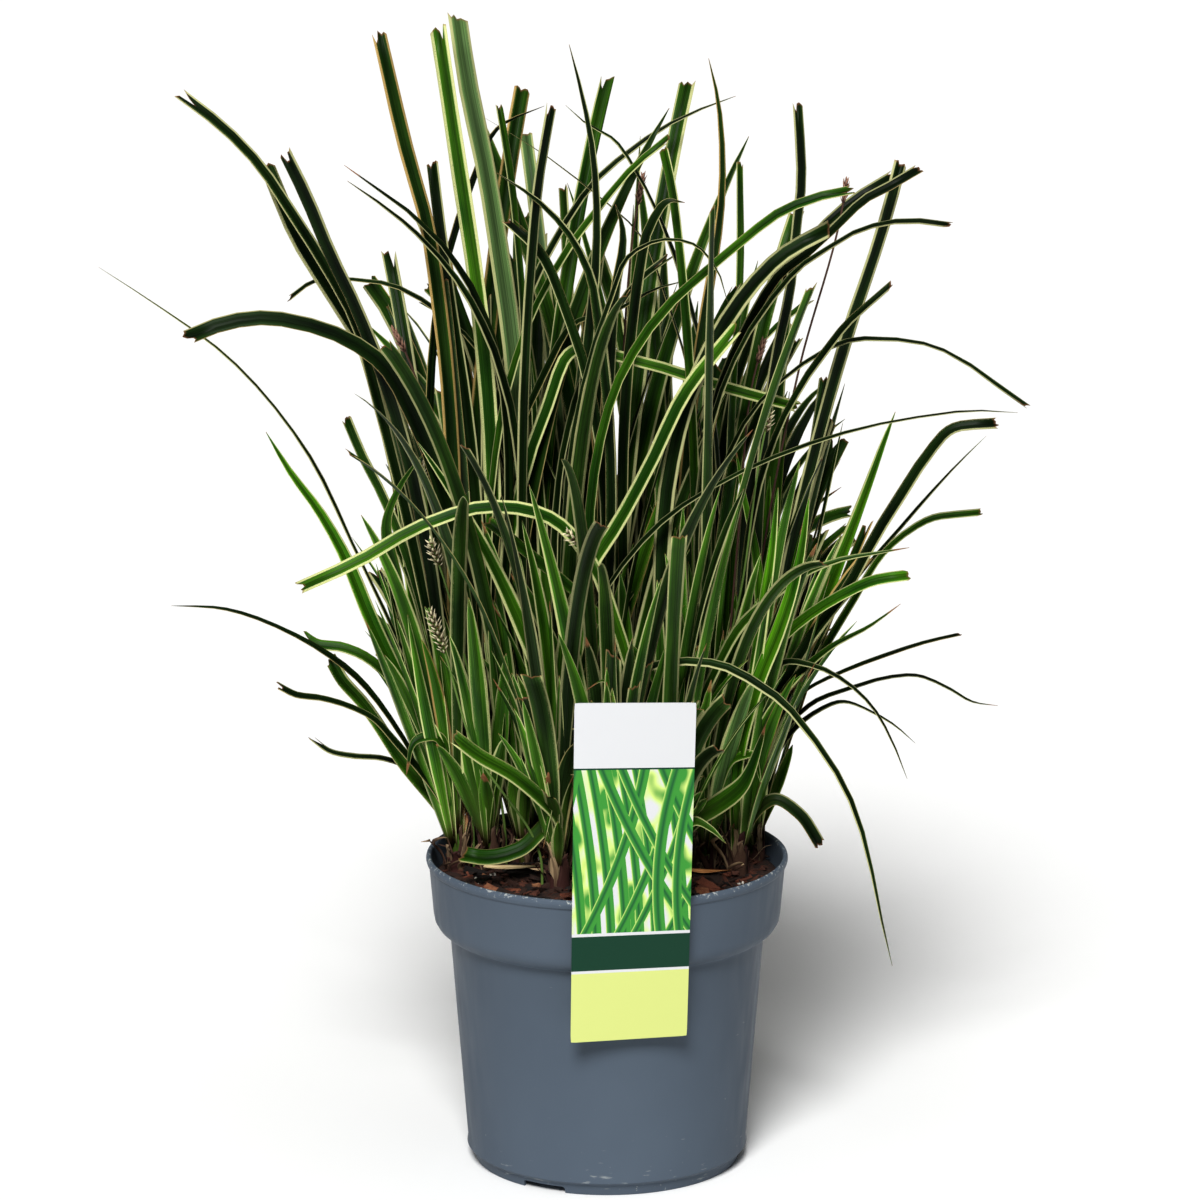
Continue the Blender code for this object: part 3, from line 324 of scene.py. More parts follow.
SEEN_LEAVES = (
    (8.5, 10, False, (-114.5, 590), (-100, 526), (-92, 497), (-85, 450)),
    (6.5, -5, False, (-214.5, 559), (-193, 542), (-176, 524), (-159.5, 499), (-143.5, 473), (-127, 441), (-119, 411)),
    (9.0, 5, False, (-172, 524), (-156, 485), (-140, 458), (-127, 437)),
    (7.5, -20, False, (-162.5, 530), (-152.5, 509), (-140, 478), (-128.7, 454)),
    (5.0, 0, True, (-132.5, 523), (-116, 511), (-99.7, 499)),
    (5.0, -14, True, (-131, 515), (-114, 503), (-98, 490)),
    (3.0, 12, False, (-161, 455), (-150, 463), (-127, 464.5), (-107, 461), (-93.5, 454)),
    (2.5, 2, True, (-257.5, 471), (-233.5, 455), (-191.6, 423.5), (-153, 375), (-128.6, 323), (-107, 275), (-87, 222)),
    (8.5, -8, False, (-214, 434.5), (-195, 442), (-175, 445), (-154, 442), (-134, 435), (-115, 422), (-97, 390)),
    (9.5, 30, False, (-84.7, 593), (-74.5, 522), (-65, 454), (-61, 411)),
    (11.0, 18, False, (-75, 598), (-70, 564), (-61.5, 522), (-53.5, 471), (-50, 446)),
    (7.0, 8, False, (-88, 524), (-85, 497), (-79.6, 454), (-73, 411)),
    (4.5, 40, False, (-54.5, 553.5), (-49, 519), (-45, 480)),
    (6.0, 26, False, (-28, 553), (-35, 512), (-38, 480)),
    (4.5, 55, True, (-31.5, 553), (-55, 542), (-68, 515)),
    (1.8, 60, True, (-61.5, 547), (-34, 530), (-8.5, 510.5), (17, 487), (30, 455)),
    (6.0, 10, True, (-19, 584), (-13.5, 563), (-7.6, 534), (-5, 499), (-6, 466), (-9, 437)),
    (5.0, 20, True, (64.7, 558), (48.6, 552), (30, 543), (10, 529), (-5, 516), (-22, 492)),
    (4.5, 32, False, (32, 537.5), (13.4, 522), (-3.3, 502), (-18.5, 482)),
    (3.0, 48, True, (-21, 553.5), (-11.7, 545), (3.3, 536), (15, 519), (27, 495), (35.5, 473)),
    (6.0, 30, True, (51, 577), (55.4, 558), (58, 531), (57.3, 499), (53.4, 471), (48, 437)),
    (5.5, 14, False, (28.4, 532), (32.7, 513), (36, 489), (38.7, 463)),
    (6.0, 0, True, (39.3, 504), (32, 505), (21.8, 492), (16.8, 471), (13.4, 446)),
    (7.0, 12, True, (4.2, 503), (7, 495), (3.4, 454)),
    (4.5, 40, False, (66.7, 524), (67, 463), (65, 430)),
    (6.0, -4, True, (-55.5, 519), (-35, 505), (-20, 489), (-8.4, 466), (-4, 440)),
    (6.0, 6, False, (-50.5, 495), (-35, 480), (-20, 446)),
    (3.0, -12, True, (61.5, 452), (55.5, 470), (45, 482), (28.5, 485), (11.7, 477), (2, 455)),
    (4.5, 20, False, (32, 477), (14, 462), (0, 440)),
    (4.0, -6, True, (41.5, 464.5), (25, 460), (5, 449), (-16.6, 442), (-30, 420)),
    (7.0, -45, False, (97, 399), (60, 409), (10, 424), (-17, 428), (-30, 400)),
    (6.0, 24, False, (95.8, 554), (97.8, 512), (95.4, 489), (92.6, 459), (86.5, 429)),
    (7.5, 16, False, (147.8, 524), (142.4, 502), (134.5, 475), (125, 446), (116, 415)),
    (5.5, -10, False, (124, 510.5), (107.4, 507), (87.6, 499), (67.6, 483.5), (47, 466), (33.7, 454)),
    (5.5, 2, False, (157, 521), (145.6, 514), (130.6, 506), (116, 492), (101, 478), (88, 468), (76, 450)),
    (6.0, 30, False, (143, 517), (124, 505), (107.6, 490), (92, 470)),
    (9.0, -14, False, (113, 491), (88, 476.5), (73, 461), (61, 444)),
    (3.5, -22, False, (173, 492.5), (159, 494.4), (144, 494), (126, 489), (111, 480), (99, 472), (84, 455)),
    (4.5, 0, False, (144, 462), (135, 454), (122, 442), (112, 429), (102, 415)),
    (3.0, 14, False, (214.5, 399), (205.5, 405), (187, 419), (165, 430.5), (142.6, 434), (122, 433), (98, 420)),
    (3.0, -30, True, (209.5, 396), (186.6, 397), (161, 394), (139, 390), (98.5, 378), (64.6, 363), (27, 338), (5, 312)),
    (6.5, -16, False, (198.6, 390.5), (175, 387), (163, 373), (151, 354), (139.5, 335), (119.6, 298), (106, 280)),
    (3.0, 4, True, (193.6, 384), (178, 368), (163, 351), (148, 333), (133, 315.5), (118, 295)),
    (4.5, 28, False, (191.5, 344), (180.6, 343), (167, 341), (153, 333), (143, 324), (128, 300)),
    (8.0, 8, True, (147, 396.5), (141, 380), (134.5, 361), (126, 337), (118, 315.5)),
    (5.5, -34, True, (155, 325.6), (140, 323), (119, 319), (102, 312), (85.6, 300), (68.6, 284), (58, 265)),
    (6.5, -22, False, (154.6, 311), (136.6, 308), (119.6, 300), (102.7, 289), (91, 279)),
    (4.5, -8, True, (151, 296), (135, 284), (116, 273.5), (99.4, 259)),
    (2.8, 20, False, (182, 280), (165, 276), (144, 269), (123.5, 261), (103, 250.5)),
    (2.8, 30, True, (202, 242), (189, 244), (175, 252), (160, 258), (144.6, 257), (127.6, 252), (107, 244)),
    (3.0, 12, True, (159.5, 222), (148, 232), (138, 238), (121, 244), (107, 238)),
    (3.5, -6, True, (155.5, 203), (147, 224), (138, 240), (124, 254), (107, 263), (91.6, 265), (80, 255)),
    (5.0, -112, True, (149, 102), (119.6, 205), (104, 228), (90.5, 244), (77, 254), (60, 263), (39, 265.5), (17, 261)),
    (7.5, -20, True, (-174, 386), (-162.5, 366), (-147, 344), (-135.5, 323), (-124, 294)),
    (6.0, 20, False, (-132.7, 393), (-124.5, 373), (-116, 356)),
    (6.5, -30, True, (-93.6, 375), (-105.6, 358), (-112.6, 340), (-108, 310)),
    (7.5, -75, False, (-158.8, 304), (-128.4, 318), (-94, 337.5), (-60, 347), (-29, 341), (-5, 312), (2, 293)),
    (3.5, -24, True, (-224, 295), (-197.7, 293.5), (-163.7, 281), (-129.5, 257.5), (-107.6, 228), (-95, 205)),
    (6.0, -10, False, (-158.6, 281), (-150, 275), (-136.6, 273), (-126.4, 269), (-116, 261), (-104.4, 245), (-92.6, 224)),
    (7.5, 14, False, (-142.6, 267), (-136.8, 256), (-126.6, 244), (-108, 215)),
    (4.0, -28, False, (-170.5, 253), (-161, 248), (-147.6, 246), (-134, 242), (-120.6, 235), (-110.6, 224)),
    (3.5, -4, False, (-152.6, 224.5), (-144, 218), (-130.6, 215), (-117, 214), (-105, 210)),
    (8.0, -52, False, (-80, 226), (-66, 215), (-49, 205), (-35, 193), (-24.6, 181)),
    (4.0, -20, True, (-69, 243), (-66, 215), (-62, 190)),
    (4.0, -14, True, (-52.8, 238), (-55, 210), (-58, 190)),
    (10.0, -48, True, (82, 232), (78.6, 220), (69.6, 199), (56, 188), (45, 181)),
    (7.0, -12, False, (111, 167), (100, 184), (88, 192)),
    (6.0, -6, True, (65.4, 379), (69.6, 354), (75.6, 326)),
    (7.0, -14, True, (87.5, 357), (85, 326), (81.6, 300)),
    (8.0, -22, True, (103.5, 352), (98.6, 317), (88.6, 282), (78.6, 256), (69, 221)),
    (8.5, -34, True, (39, 348), (38, 320), (38, 285), (36, 250)),
    (8.0, -30, False, (66, 440), (39.6, 406), (22.5, 370), (5, 337), (-8.6, 315.5)),
    (8.5, -36, True, (-96.8, 381), (-75, 347), (-58, 315.5), (-42.7, 281), (-31, 249), (-26, 212)),
    (8.0, -44, True, (-43.6, 340), (-36.5, 308.5), (-31, 273.5), (-27.6, 238)),
    (6.5, -42, False, (-61.6, 340), (-36, 319), (-12, 298), (5, 277), (22.6, 261), (32, 235)),
    (2.5, -60, True, (-11, 250), (-2, 255), (4, 246), (8, 225)),
)

# One letter for each seen leaf: Old, Middle, Young, Pale underside, Golden-edged, Tan-edged, Cream-edged.
SEEN_AGES = "GOOOOOOOOCPOMOOOOOMOGMOOMOOOOOCOOMOOOOOOOOOMYMYMOOOOOYMMCOMMOOMYYMOYYYYCCMMM"

# Leaves that only the scene has: they bend over low above the compost.
LOW_LEAVES = (
    (9.0, -34, False, (-76, 162.5), (-62, 160.5), (-45, 165), (-27, 181)),
    (6.0, -20, True, (-104, 205), (-98, 224), (-90, 226), (-80, 200)),
    (6.0, -44, True, (62, 168), (54, 176), (46, 180), (38, 176)),
    (5.0, -50, True, (-33, 166), (-30, 182), (-27, 192), (-24, 190)),
    (5.5, -30, True, (80, 200), (74, 216), (66, 214), (58, 196)),
    (9.0, 55, True, (-51, 320), (-54, 260), (-55, 205)),
    (8.0, 60, True, (-5, 330), (-2, 270), (-1, 210)),
)

STALKS = (
    ("flower_stalk_pale_low", -38, 25.0, 6.2, (-91.6, 294), (-83, 268), (-70, 222)),
    ("flower_stalk_pale_left", -30, 15.0, 5.4, (-91.0, 330), (-84, 310), (-72, 262)),
    ("flower_stalk_small", -12, 10.0, 4.6, (-95.6, 371), (-94, 360), (-86, 300)),
    ("flower_stalk_middle", -62, 11.0, 5.0, (-21.6, 334), (-10, 324), (1, 293), (3, 255)),
    ("flower_stalk_brown_left", 4, 24.0, 4.4, (-117, 412), (-104, 388), (-88, 330)),
    ("flower_stalk_brown_left_inner", 28, 14.0, 4.0, (-109, 440), (-101, 424), (-88, 360)),
    ("flower_stalk_brown_middle", 40, 16.0, 4.2, (18.5, 519), (15, 500), (8, 420)),
    ("flower_stalk_brown_right_high", 34, 12.0, 4.0, (121, 516), (119, 502), (98, 420)),
    ("flower_stalk_brown_right", 22, 12.0, 4.2, (80, 434), (76, 420), (68, 340)),
    ("flower_stalk_right_low", -20, 11.0, 4.4, (83, 397), (80, 383), (70, 310)),
)

CROWN = (
    (150, -97, 99),
    (210, -112, 112),
    (260, -128, 128),
    (330, -132, 136),
    (400, -134, 126),
    (450, -130, 112),
    (500, -112, 104),
    (545, -88, 66),
    (590, -80, 20),
)


class Age(Enum):
    """How a leaf looks: its age from 0, bright, to 1, dark, and its tone."""

    YOUNG = "Y"
    MIDDLE = "M"
    OLD = "O"
    PALE = "P"
    GOLDEN = "G"
    TAN = "T"
    CREAM = "C"


AGE_VALUES = {"Y": 0.1, "M": 0.55, "O": 1.0, "P": 0.75, "G": 0.9, "T": 0.62, "C": 0.5}
OWN_TONES = {"P": 0.951, "G": 0.968, "T": 0.985, "C": 0.924}


def seen(point: Sequence[float]) -> tuple[float, float]:
    """Where a point is seen from the front on the plane through the pot's axis."""
    scale = (point[1] + EYE_AWAY) / EYE_AWAY
    return point[0] / scale, EYE_HIGH + (point[2] - EYE_HIGH) / scale


def from_seen(across: float, up: float, depth: float) -> Vector:
    """The point at this depth that is seen at this place on the plane through the pot's axis."""
    scale = (depth + EYE_AWAY) / EYE_AWAY
    return Vector((across * scale, depth, EYE_HIGH + (up - EYE_HIGH) * scale))


def smooth_course(controls: Sequence[Vector], start: Vector) -> list[Vector]:
    """Points close together along a smooth curve.

    Args:
        controls: The points that the curve goes through.
        start: Its direction at the first of them.

    Returns:
        Twelve points a span and the last control.
    """
    spans = [(b - a).length for a, b in zip(controls, controls[1:])]
    slopes = [start.normalized()]
    for index in range(1, len(controls) - 1):
        before = (controls[index] - controls[index - 1]) / spans[index - 1]
        after = (controls[index + 1] - controls[index]) / spans[index]
        slopes.append((before * spans[index] + after * spans[index - 1]) / (spans[index] + spans[index - 1]))
    slopes.append((controls[-1] - controls[-2]) / spans[-1])
    found = []
    for index, span in enumerate(spans):
        for step in range(12):
            t = step / 12
            found.append(
                (2 * t**3 - 3 * t**2 + 1) * controls[index]
                + (t**3 - 2 * t**2 + t) * span * slopes[index]
                + (3 * t**2 - 2 * t**3) * controls[index + 1]
                + (t**3 - t**2) * span * slopes[index + 1]
            )
    found.append(controls[-1].copy())
    return found


def lengths_along(points: Sequence[Vector]) -> list[float]:
    """The length from the first point to each."""
    found = [0.0]
    for one, two in zip(points, points[1:]):
        found.append(found[-1] + (two - one).length)
    return found


def tangents_of(points: Sequence[Vector]) -> list[Vector]:
    """The direction of the course at each point."""
    found = []
    for index in range(len(points)):
        ahead = points[min(index + 1, len(points) - 1)] - points[max(index - 1, 0)]
        found.append(ahead.normalized())
    return found


def spaced(points: Sequence[Vector], count: int, bend: float = 0.0) -> list[Vector]:
    """Stations along a course, closer together where it bends.

    Args:
        points: The course's points.
        count: One less than the number of stations.
        bend: The length that a turn of one radian counts for.

    Returns:
        The stations.
    """
    along = lengths_along(points)
    tangents = tangents_of(points)
    turned = 0.0
    for index in range(1, len(points)):
        turned += tangents[index].angle(tangents[index - 1], 0.0)
        along[index] += bend * turned
    found = []
    at = 0
    for index in range(count + 1):
        goal = along[-1] * index / count
        while at < len(points) - 2 and along[at + 1] < goal:
            at += 1
        share = (goal - along[at]) / max(along[at + 1] - along[at], 1e-9)
        found.append(points[at].lerp(points[at + 1], min(max(share, 0.0), 1.0)))
    return found


def bounds_of(points: Sequence[Sequence[float]]) -> tuple[list[float], list[float]]:
    """The lowest and highest corners of some points."""
    return (
        [min(point[i] for point in points) for i in range(3)],
        [max(point[i] for point in points) for i in range(3)],
    )


@dataclass
class Leaf:
    """A leaf's stations, with its upper direction at each, its width and its look."""

    points: list[Vector]
    uppers: list[Vector]
    width: float
    pointed: bool
    slant: float
    age: float = 0.5
    tone: float = 0.5
    fine: Optional["Leaf"] = None
    inner: bool = False

    def __post_init__(self) -> None:
        """Squares the upper directions to the course."""
        self.tangents = tangents_of(self.points)
        flats = [upper - tangent * upper.dot(tangent) for tangent, upper in zip(self.tangents, self.uppers)]
        self.uppers = [flat.normalized() for flat in flats]

    def width_at(self, share: float, taper: float = 0.75) -> float:
        """The leaf's width at a share of its stations, with this power for the taper to its point."""
        grow = 0.34 + 0.66 * min(share / 0.34, 1.0)
        if self.pointed:
            return self.width * grow * min(1.0, ((1.0 - share) / 0.42) ** taper)
        return self.width * grow * (1.0 - 0.12 * share)

    def solid(self, grow: float = 0.0, start: float = 0.0) -> tuple[list[Vector], list[tuple[int, ...]]]:
        """The plain three-sided leaf that the clearances are tested with.

        Args:
            grow: A margin all round it.
            start: How far from its root it begins.

        Returns:
            Its points and faces.
        """
        points, faces = [], []
        count = len(self.points)
        whole = count - 1 if self.pointed else count
        skip = start / (self.points[1] - self.points[0]).length
        for index in range(whole):
            centre, tangent, upper = self.points[index], self.tangents[index], self.uppers[index]
            side = tangent.cross(upper)
            half = 0.5 * self.width_at(index / (count - 1)) + grow
            if index == 0 and start:
                centre = centre.lerp(self.points[1], skip)
                half = 0.5 * self.width_at(skip / (count - 1)) + grow
            ahead = tangent * (self.slant * half) if index == count - 1 else Vector()
            points.append(centre - side * half + upper * grow + ahead)
            points.append(centre + side * half + upper * grow - ahead)
            points.append(centre - upper * (KEEL * min(1.0, 0.35 + half / 4.0) + grow))
        for ring in range(whole - 1):
            low, high = 3 * ring, 3 * ring + 3
            for one, two in ((0, 1), (1, 2), (2, 0)):
                faces.append((low + one, low + two, high + two))
                faces.append((low + one, high + two, high + one))
        faces.append((2, 1, 0))
        last = 3 * (whole - 1)
        if self.pointed:
            points.append(self.points[-1] + self.tangents[-1] * grow)
            end = len(points) - 1
            faces += [(last, last + 1, end), (last + 1, last + 2, end), (last + 2, last, end)]
        else:
            faces.append((last, last + 1, last + 2))
        return points, faces


@dataclass
class Thicket:
    """What has been placed, which each new leaf passes clear of."""

    items: list[tuple[Any, ...]] = field(default_factory=list)

    def add(self, owner: str, points: Sequence[Vector], faces: Sequence[tuple[int, ...]]) -> None:
        """Records a placed shape under its owner's name."""
        self.items.append((owner, *bounds_of(points), BVHTree.FromPolygons(points, faces)))

    def is_clear(self, owner: str, shape: tuple[Any, Any], own: Optional[tuple[Any, Any]] = None) -> bool:
        """Whether a shape passes clear of what is placed.

        Args:
            owner: Whose shape it is.
            shape: Its points and faces, tested with what others own.
            own: The part of it that is tested with what its owner has.

        Returns:
            True when nothing crosses it.
        """
        trees: dict[bool, tuple[Any, ...]] = {}
        for holder, low, high, tree in self.items:
            tested = shape if holder != owner else own
            if tested is None:
                continue
            key = holder != owner
            if key not in trees:
                trees[key] = (*bounds_of(tested[0]), BVHTree.FromPolygons(*tested))
            its_low, its_high, its_tree = trees[key]
            if any(its_low[i] > high[i] or its_high[i] < low[i] for i in range(3)):
                continue
            if its_tree.overlap(tree):
                return False
        return True


def solid_of(name: str) -> tuple[list[Vector], list[tuple[int, ...]]]:
    """Points in millimetres and triangles of one of the frame's solids."""
    mesh = bpy.data.objects[name].data
    mesh.calc_loop_triangles()
    return [vertex.co / MM for vertex in mesh.vertices], [tuple(t.vertices) for t in mesh.loop_triangles]


def sheath_column(shoot: Shoot) -> tuple[list[Vector], list[tuple[int, ...]]]:
    """Points and faces of a shoot's plain bundle of sheaths."""
    _, x, y, radius, high, _ = shoot
    points, faces = [], []
    for level, size in ((ROOT_LOW, radius * 0.9), (SOIL_TOP + 6.0, radius), (high, radius * 0.72)):
        for side in range(SHEATH_SIDES):
            angle = math.tau * (side + 0.3) / SHEATH_SIDES
            points.append(Vector((x + size * math.cos(angle), y + size * math.sin(angle), level)))
    for ring in range(2):
        low, top = ring * SHEATH_SIDES, (ring + 1) * SHEATH_SIDES
        for side in range(SHEATH_SIDES):
            after = (side + 1) % SHEATH_SIDES
            faces.append((low + side, low + after, top + after))
            faces.append((low + side, top + after, top + side))
    faces.append(tuple(reversed(range(SHEATH_SIDES))))
    faces.append(tuple(range(2 * SHEATH_SIDES, 3 * SHEATH_SIDES)))
    return points, faces


def root_of(shoot: Shoot, heading: float, share: float, high: float) -> Vector:
    """Where a leaf starts inside its shoot's sheaths, towards its heading."""
    _, x, y, radius, _, _ = shoot
    return Vector((x + radius * share * math.cos(heading), y + radius * share * math.sin(heading), high))


def nearest_shoot(marks: Sequence[tuple[float, float]], depth: float) -> Shoot:
    """The shoot that a leaf seen on this course most likely grows from."""
    low, above = marks[-1], marks[-2]
    slope = (low[0] - above[0]) / min(low[1] - above[1], -4.0)
    slope = max(-1.0, min(1.0, slope))
    goal = low[0] - slope * min(low[1] - 175.0, 120.0) * 0.4
    return min(SHOOTS, key=lambda shoot: abs(shoot[1] - goal) + 0.45 * abs(shoot[2] - 0.6 * depth))


def seen_leaf(row: tuple[Any, ...], shift: float, draw_side: float) -> tuple[str, Leaf]:
    """A leaf from its seen course.

    Args:
        row: Its seen width, depth, whether it is pointed, and its course from the end down.
        shift: How far its end is moved back.
        draw_side: Which way it turns where neither way rises.

    Returns:
        The name of its shoot and the leaf, with its fine twin.
    """
    seen_wide, depth, pointed, *marks = row
    depth += shift
    shoot = nearest_shoot(marks, row[1])
    heading = math.atan2(0.4 * depth - shoot[2], marks[-1][0] - shoot[1])
    root = root_of(shoot, heading, 0.55, LEAF_START)
    flat = [Vector(seen(root))] + [Vector(mark) for mark in reversed(marks)]
    course = smooth_course(flat, Vector((0.0, 1.0)))
    along = lengths_along(course)
    dense = []
    for point, length in zip(course, along):
        share = length / along[-1]
        dense.append(from_seen(point.x, point.y, root.y + (depth - root.y) * share**1.2))
    wide = max(seen_wide, 6.0) if seen_wide > 2.9 else seen_wide + 1.5
    turn = math.acos(min(0.97, max(0.05, (seen_wide - 0.9) / wide)))
    made: list[Leaf] = []
    sign = draw_side
    for stations in (7 if len(marks) > 5 else 5, FINE_STATIONS):
        points = spaced(dense, stations, BEND)
        pairs, rise = [], 0.0
        for point, tangent in zip(points, tangents_of(points)):
            towards = (Vector((0.0, -EYE_AWAY, EYE_HIGH)) - point).normalized()
            towards = (towards - tangent * towards.dot(tangent)).normalized()
            across = tangent.cross(towards)
            rise += across.z
            pairs.append((towards, across))
        if not made and abs(rise) >= 1.5:
            sign = math.copysign(1.0, rise)
        uppers = [towards * math.cos(turn) + across * (sign * math.sin(turn)) for towards, across in pairs]
        made.append(Leaf(points, uppers, wide, pointed, 0.35 * draw_side))
    made[0].fine = made[1]
    return shoot[0], made[0]


def drawn_leaf(shoot: Shoot, turn: int, attempt: int) -> Leaf:
    """One filling leaf of a shoot, with its fine twin.

    Args:
        shoot: The shoot that it grows from.
        turn: Its number on that shoot.
        attempt: The number of the draw.

    Returns:
        The leaf.
    """
    name, x, y, _, _, _ = shoot
    draw = random.Random(f"{LEAF_SEED} {name} {turn} {attempt}")
    outward = math.atan2(y - 8.0, x) if math.hypot(x, y) > 25.0 else draw.uniform(-math.pi, math.pi)
    heading = outward + draw.gauss(0.0, 1.15)
    young = draw.random() < 0.42
    long = draw.uniform(95.0, 205.0) if young else draw.uniform(200.0, 400.0)
    start = math.radians(draw.uniform(2.0, 15.0))
    end = math.radians(draw.uniform(8.0, 40.0) if young else draw.uniform(20.0, 96.0))
    wide = draw.uniform(6.0, 9.0) if young else draw.uniform(6.5, 9.5)
    return shaped_leaf(shoot, draw, heading, young, (long, start, end, wide))


def inner_leaf(shoot: Shoot, turn: int, attempt: int) -> Leaf:
    """One of the finer leaves that thicken a shoot: mostly bright upright ones low down, and dark ones behind.

    Args:
        shoot: The shoot that it grows from.
        turn: Its number on that shoot.
        attempt: The number of the draw.

    Returns:
        The leaf.
    """
    name, x, y, _, _, _ = shoot
    draw = random.Random(f"inner {name} {turn} {attempt}")
    young = draw.random() < (0.6 if y < 20.0 else 0.2)
    heading = math.atan2(y - 20.0, 0.6 * x) + draw.gauss(0.0, 0.8)
    long = draw.uniform(50.0, 175.0) if young else draw.uniform(110.0, 330.0)
    if y < -8.0:
        long *= 0.65 if young else 0.42
    elif not young and math.sin(heading) < 0.0:
        heading = -heading
    start = math.radians(draw.uniform(0.0, 22.0))
    end = math.radians(draw.uniform(6.0, 50.0) if young else draw.uniform(8.0, 80.0))
    wide = draw.uniform(5.5, 9.5) if young else draw.uniform(6.0, 10.5)
    return shaped_leaf(shoot, draw, heading, young, (long, start, end, wide))


def shaped_leaf(
    shoot: Shoot, draw: random.Random, heading: float, young: bool, build: tuple[float, float, float, float]
) -> Leaf:
    """Gives a drawn leaf its course, twist and look.

    Args:
        shoot: The shoot that it grows from.
        draw: Its draw.
        heading: The way that it leans.
        young: Whether it is a young leaf.
        build: Its length, its lean at the root and at the end, and its width.

    Returns:
        The leaf, with its fine twin.
    """
    long, start, end, wide = build
    twist = draw.uniform(-1.1, 1.1)
    facing = draw.uniform(-0.7, 0.7)
    pointed = young or draw.random() < 0.45
    root = root_of(shoot, heading, draw.uniform(0.2, 0.8), LEAF_START + draw.uniform(-6.0, 10.0))
    slant = draw.uniform(-0.5, 0.5)
    plain = 4 if young else 5
    points = [root]
    fine = 8 * plain
    for step in range(fine):
        lean = start + (end - start) * ((step + 0.5) / fine) ** 1.7
        flow = Vector((math.sin(lean) * math.cos(heading), math.sin(lean) * math.sin(heading), math.cos(lean)))
        points.append(points[-1] + flow * (long / fine))
    made = []
    for stations in (plain, FINE_STATIONS):
        places = spaced(points, stations, BEND)
        uppers = []
        for index, tangent in enumerate(tangents_of(places)):
            side = Vector((-math.sin(heading), math.cos(heading), 0.0))
            upper = side.cross(tangent)
            if upper.z < 0:
                upper = -upper
            angle = facing + twist * index / stations
            uppers.append(upper * math.cos(angle) + side * math.sin(angle))
        made.append(Leaf(places, uppers, wide, pointed, slant))
    made[0].fine = made[1]
    tone = draw.random()
    for leaf in made:
        leaf.age = 0.25 * draw.random() if young else 0.55 + 0.45 * draw.random()
        leaf.tone = tone
    return made[0]


def inside_crown(leaf: Leaf) -> bool:
    """Whether all of a leaf is seen within the crown's outline."""
    for point in leaf.points[1:]:
        across, up = seen(point)
        if up > CROWN[-1][0]:
            return False
        for (low, left, right), (high, left_high, right_high) in zip(CROWN, CROWN[1:]):
            if low <= up <= high:
                share = (up - low) / (high - low)
                if not left + (left_high - left) * share <= across <= right + (right_high - right) * share:
                    return False
    return True


@dataclass
class Growth:
    """Places every leaf of every shoot by the rule."""

    thicket: Thicket
    extra: int = 30
    leaves: dict[str, list[Leaf]] = field(default_factory=dict)

    def take(self, name: str, leaf: Leaf, own: bool) -> bool:
        """Places a leaf if it passes clear.

        Args:
            name: Its shoot.
            leaf: The leaf.
            own: Whether it must also clear its own shoot's leaves.

        Returns:
            Whether it was placed.
        """
        far = leaf.solid(grow=0.1, start=OWN_START) if own else None
        if not self.thicket.is_clear(name, leaf.solid(grow=GAP + 0.1), far):
            return False
        self.leaves[name].append(leaf)
        self.thicket.add(name, *leaf.solid())
        return True

    def place(self) -> None:
        """Places the seen leaves first, then the filling ones by turns, then finer ones among them."""
        self.leaves = {shoot[0]: [] for shoot in SHOOTS}
        for number, row in enumerate(SEEN_LEAVES):
            side = random.Random(f"{LEAF_SEED} {number}").choice((-1.0, 1.0))
            tries = [seen_leaf(row, shift, side) for shift in DEPTH_TRIES]
            look = random.Random(f"look {number}")
            for _, leaf in tries:
                leaf.fine.age = AGE_VALUES[Age(SEEN_AGES[number]).value]
                leaf.fine.tone = OWN_TONES.get(SEEN_AGES[number], 0.9 * look.random())
            any(self.take(*leaf, own) for own in (True, False) for leaf in tries)
        for turn in range(max(shoot[5] for shoot in SHOOTS)):
            for shoot in SHOOTS:
                if turn < shoot[5]:
                    self.fill(shoot, turn)
        for number, row in enumerate(LOW_LEAVES):
            name, leaf = seen_leaf(row, 0.0, 1.0)
            leaf.fine.age, leaf.fine.tone = 0.6 - 0.08 * number, 0.13 + 0.11 * number
            self.leaves[name].append(leaf)
            self.thicket.add(name, *leaf.solid())
        for turn in range(self.extra):
            for shoot in SHOOTS:
                self.thicken(shoot, turn)

    def fill(self, shoot: Shoot, turn: int) -> None:
        """Draws one filling leaf until it stands clear, or gives it up."""
        for attempt in range(TRIES):
            leaf = drawn_leaf(shoot, turn, attempt)
            if inside_crown(leaf) and self.take(shoot[0], leaf, True):
                return

    def thicken(self, shoot: Shoot, turn: int) -> None:
        """Draws one of the finer leaves among the solids' leaves, crossing none of another shoot's."""
        for attempt in range(12):
            leaf = inner_leaf(shoot, turn, attempt)
            if inside_crown(leaf) and self.thicket.is_clear(shoot[0], leaf.solid(start=OWN_START)):
                leaf.inner = True
                self.leaves[shoot[0]].append(leaf)
                self.thicket.add(shoot[0], *leaf.solid())
                return


# Finishes.


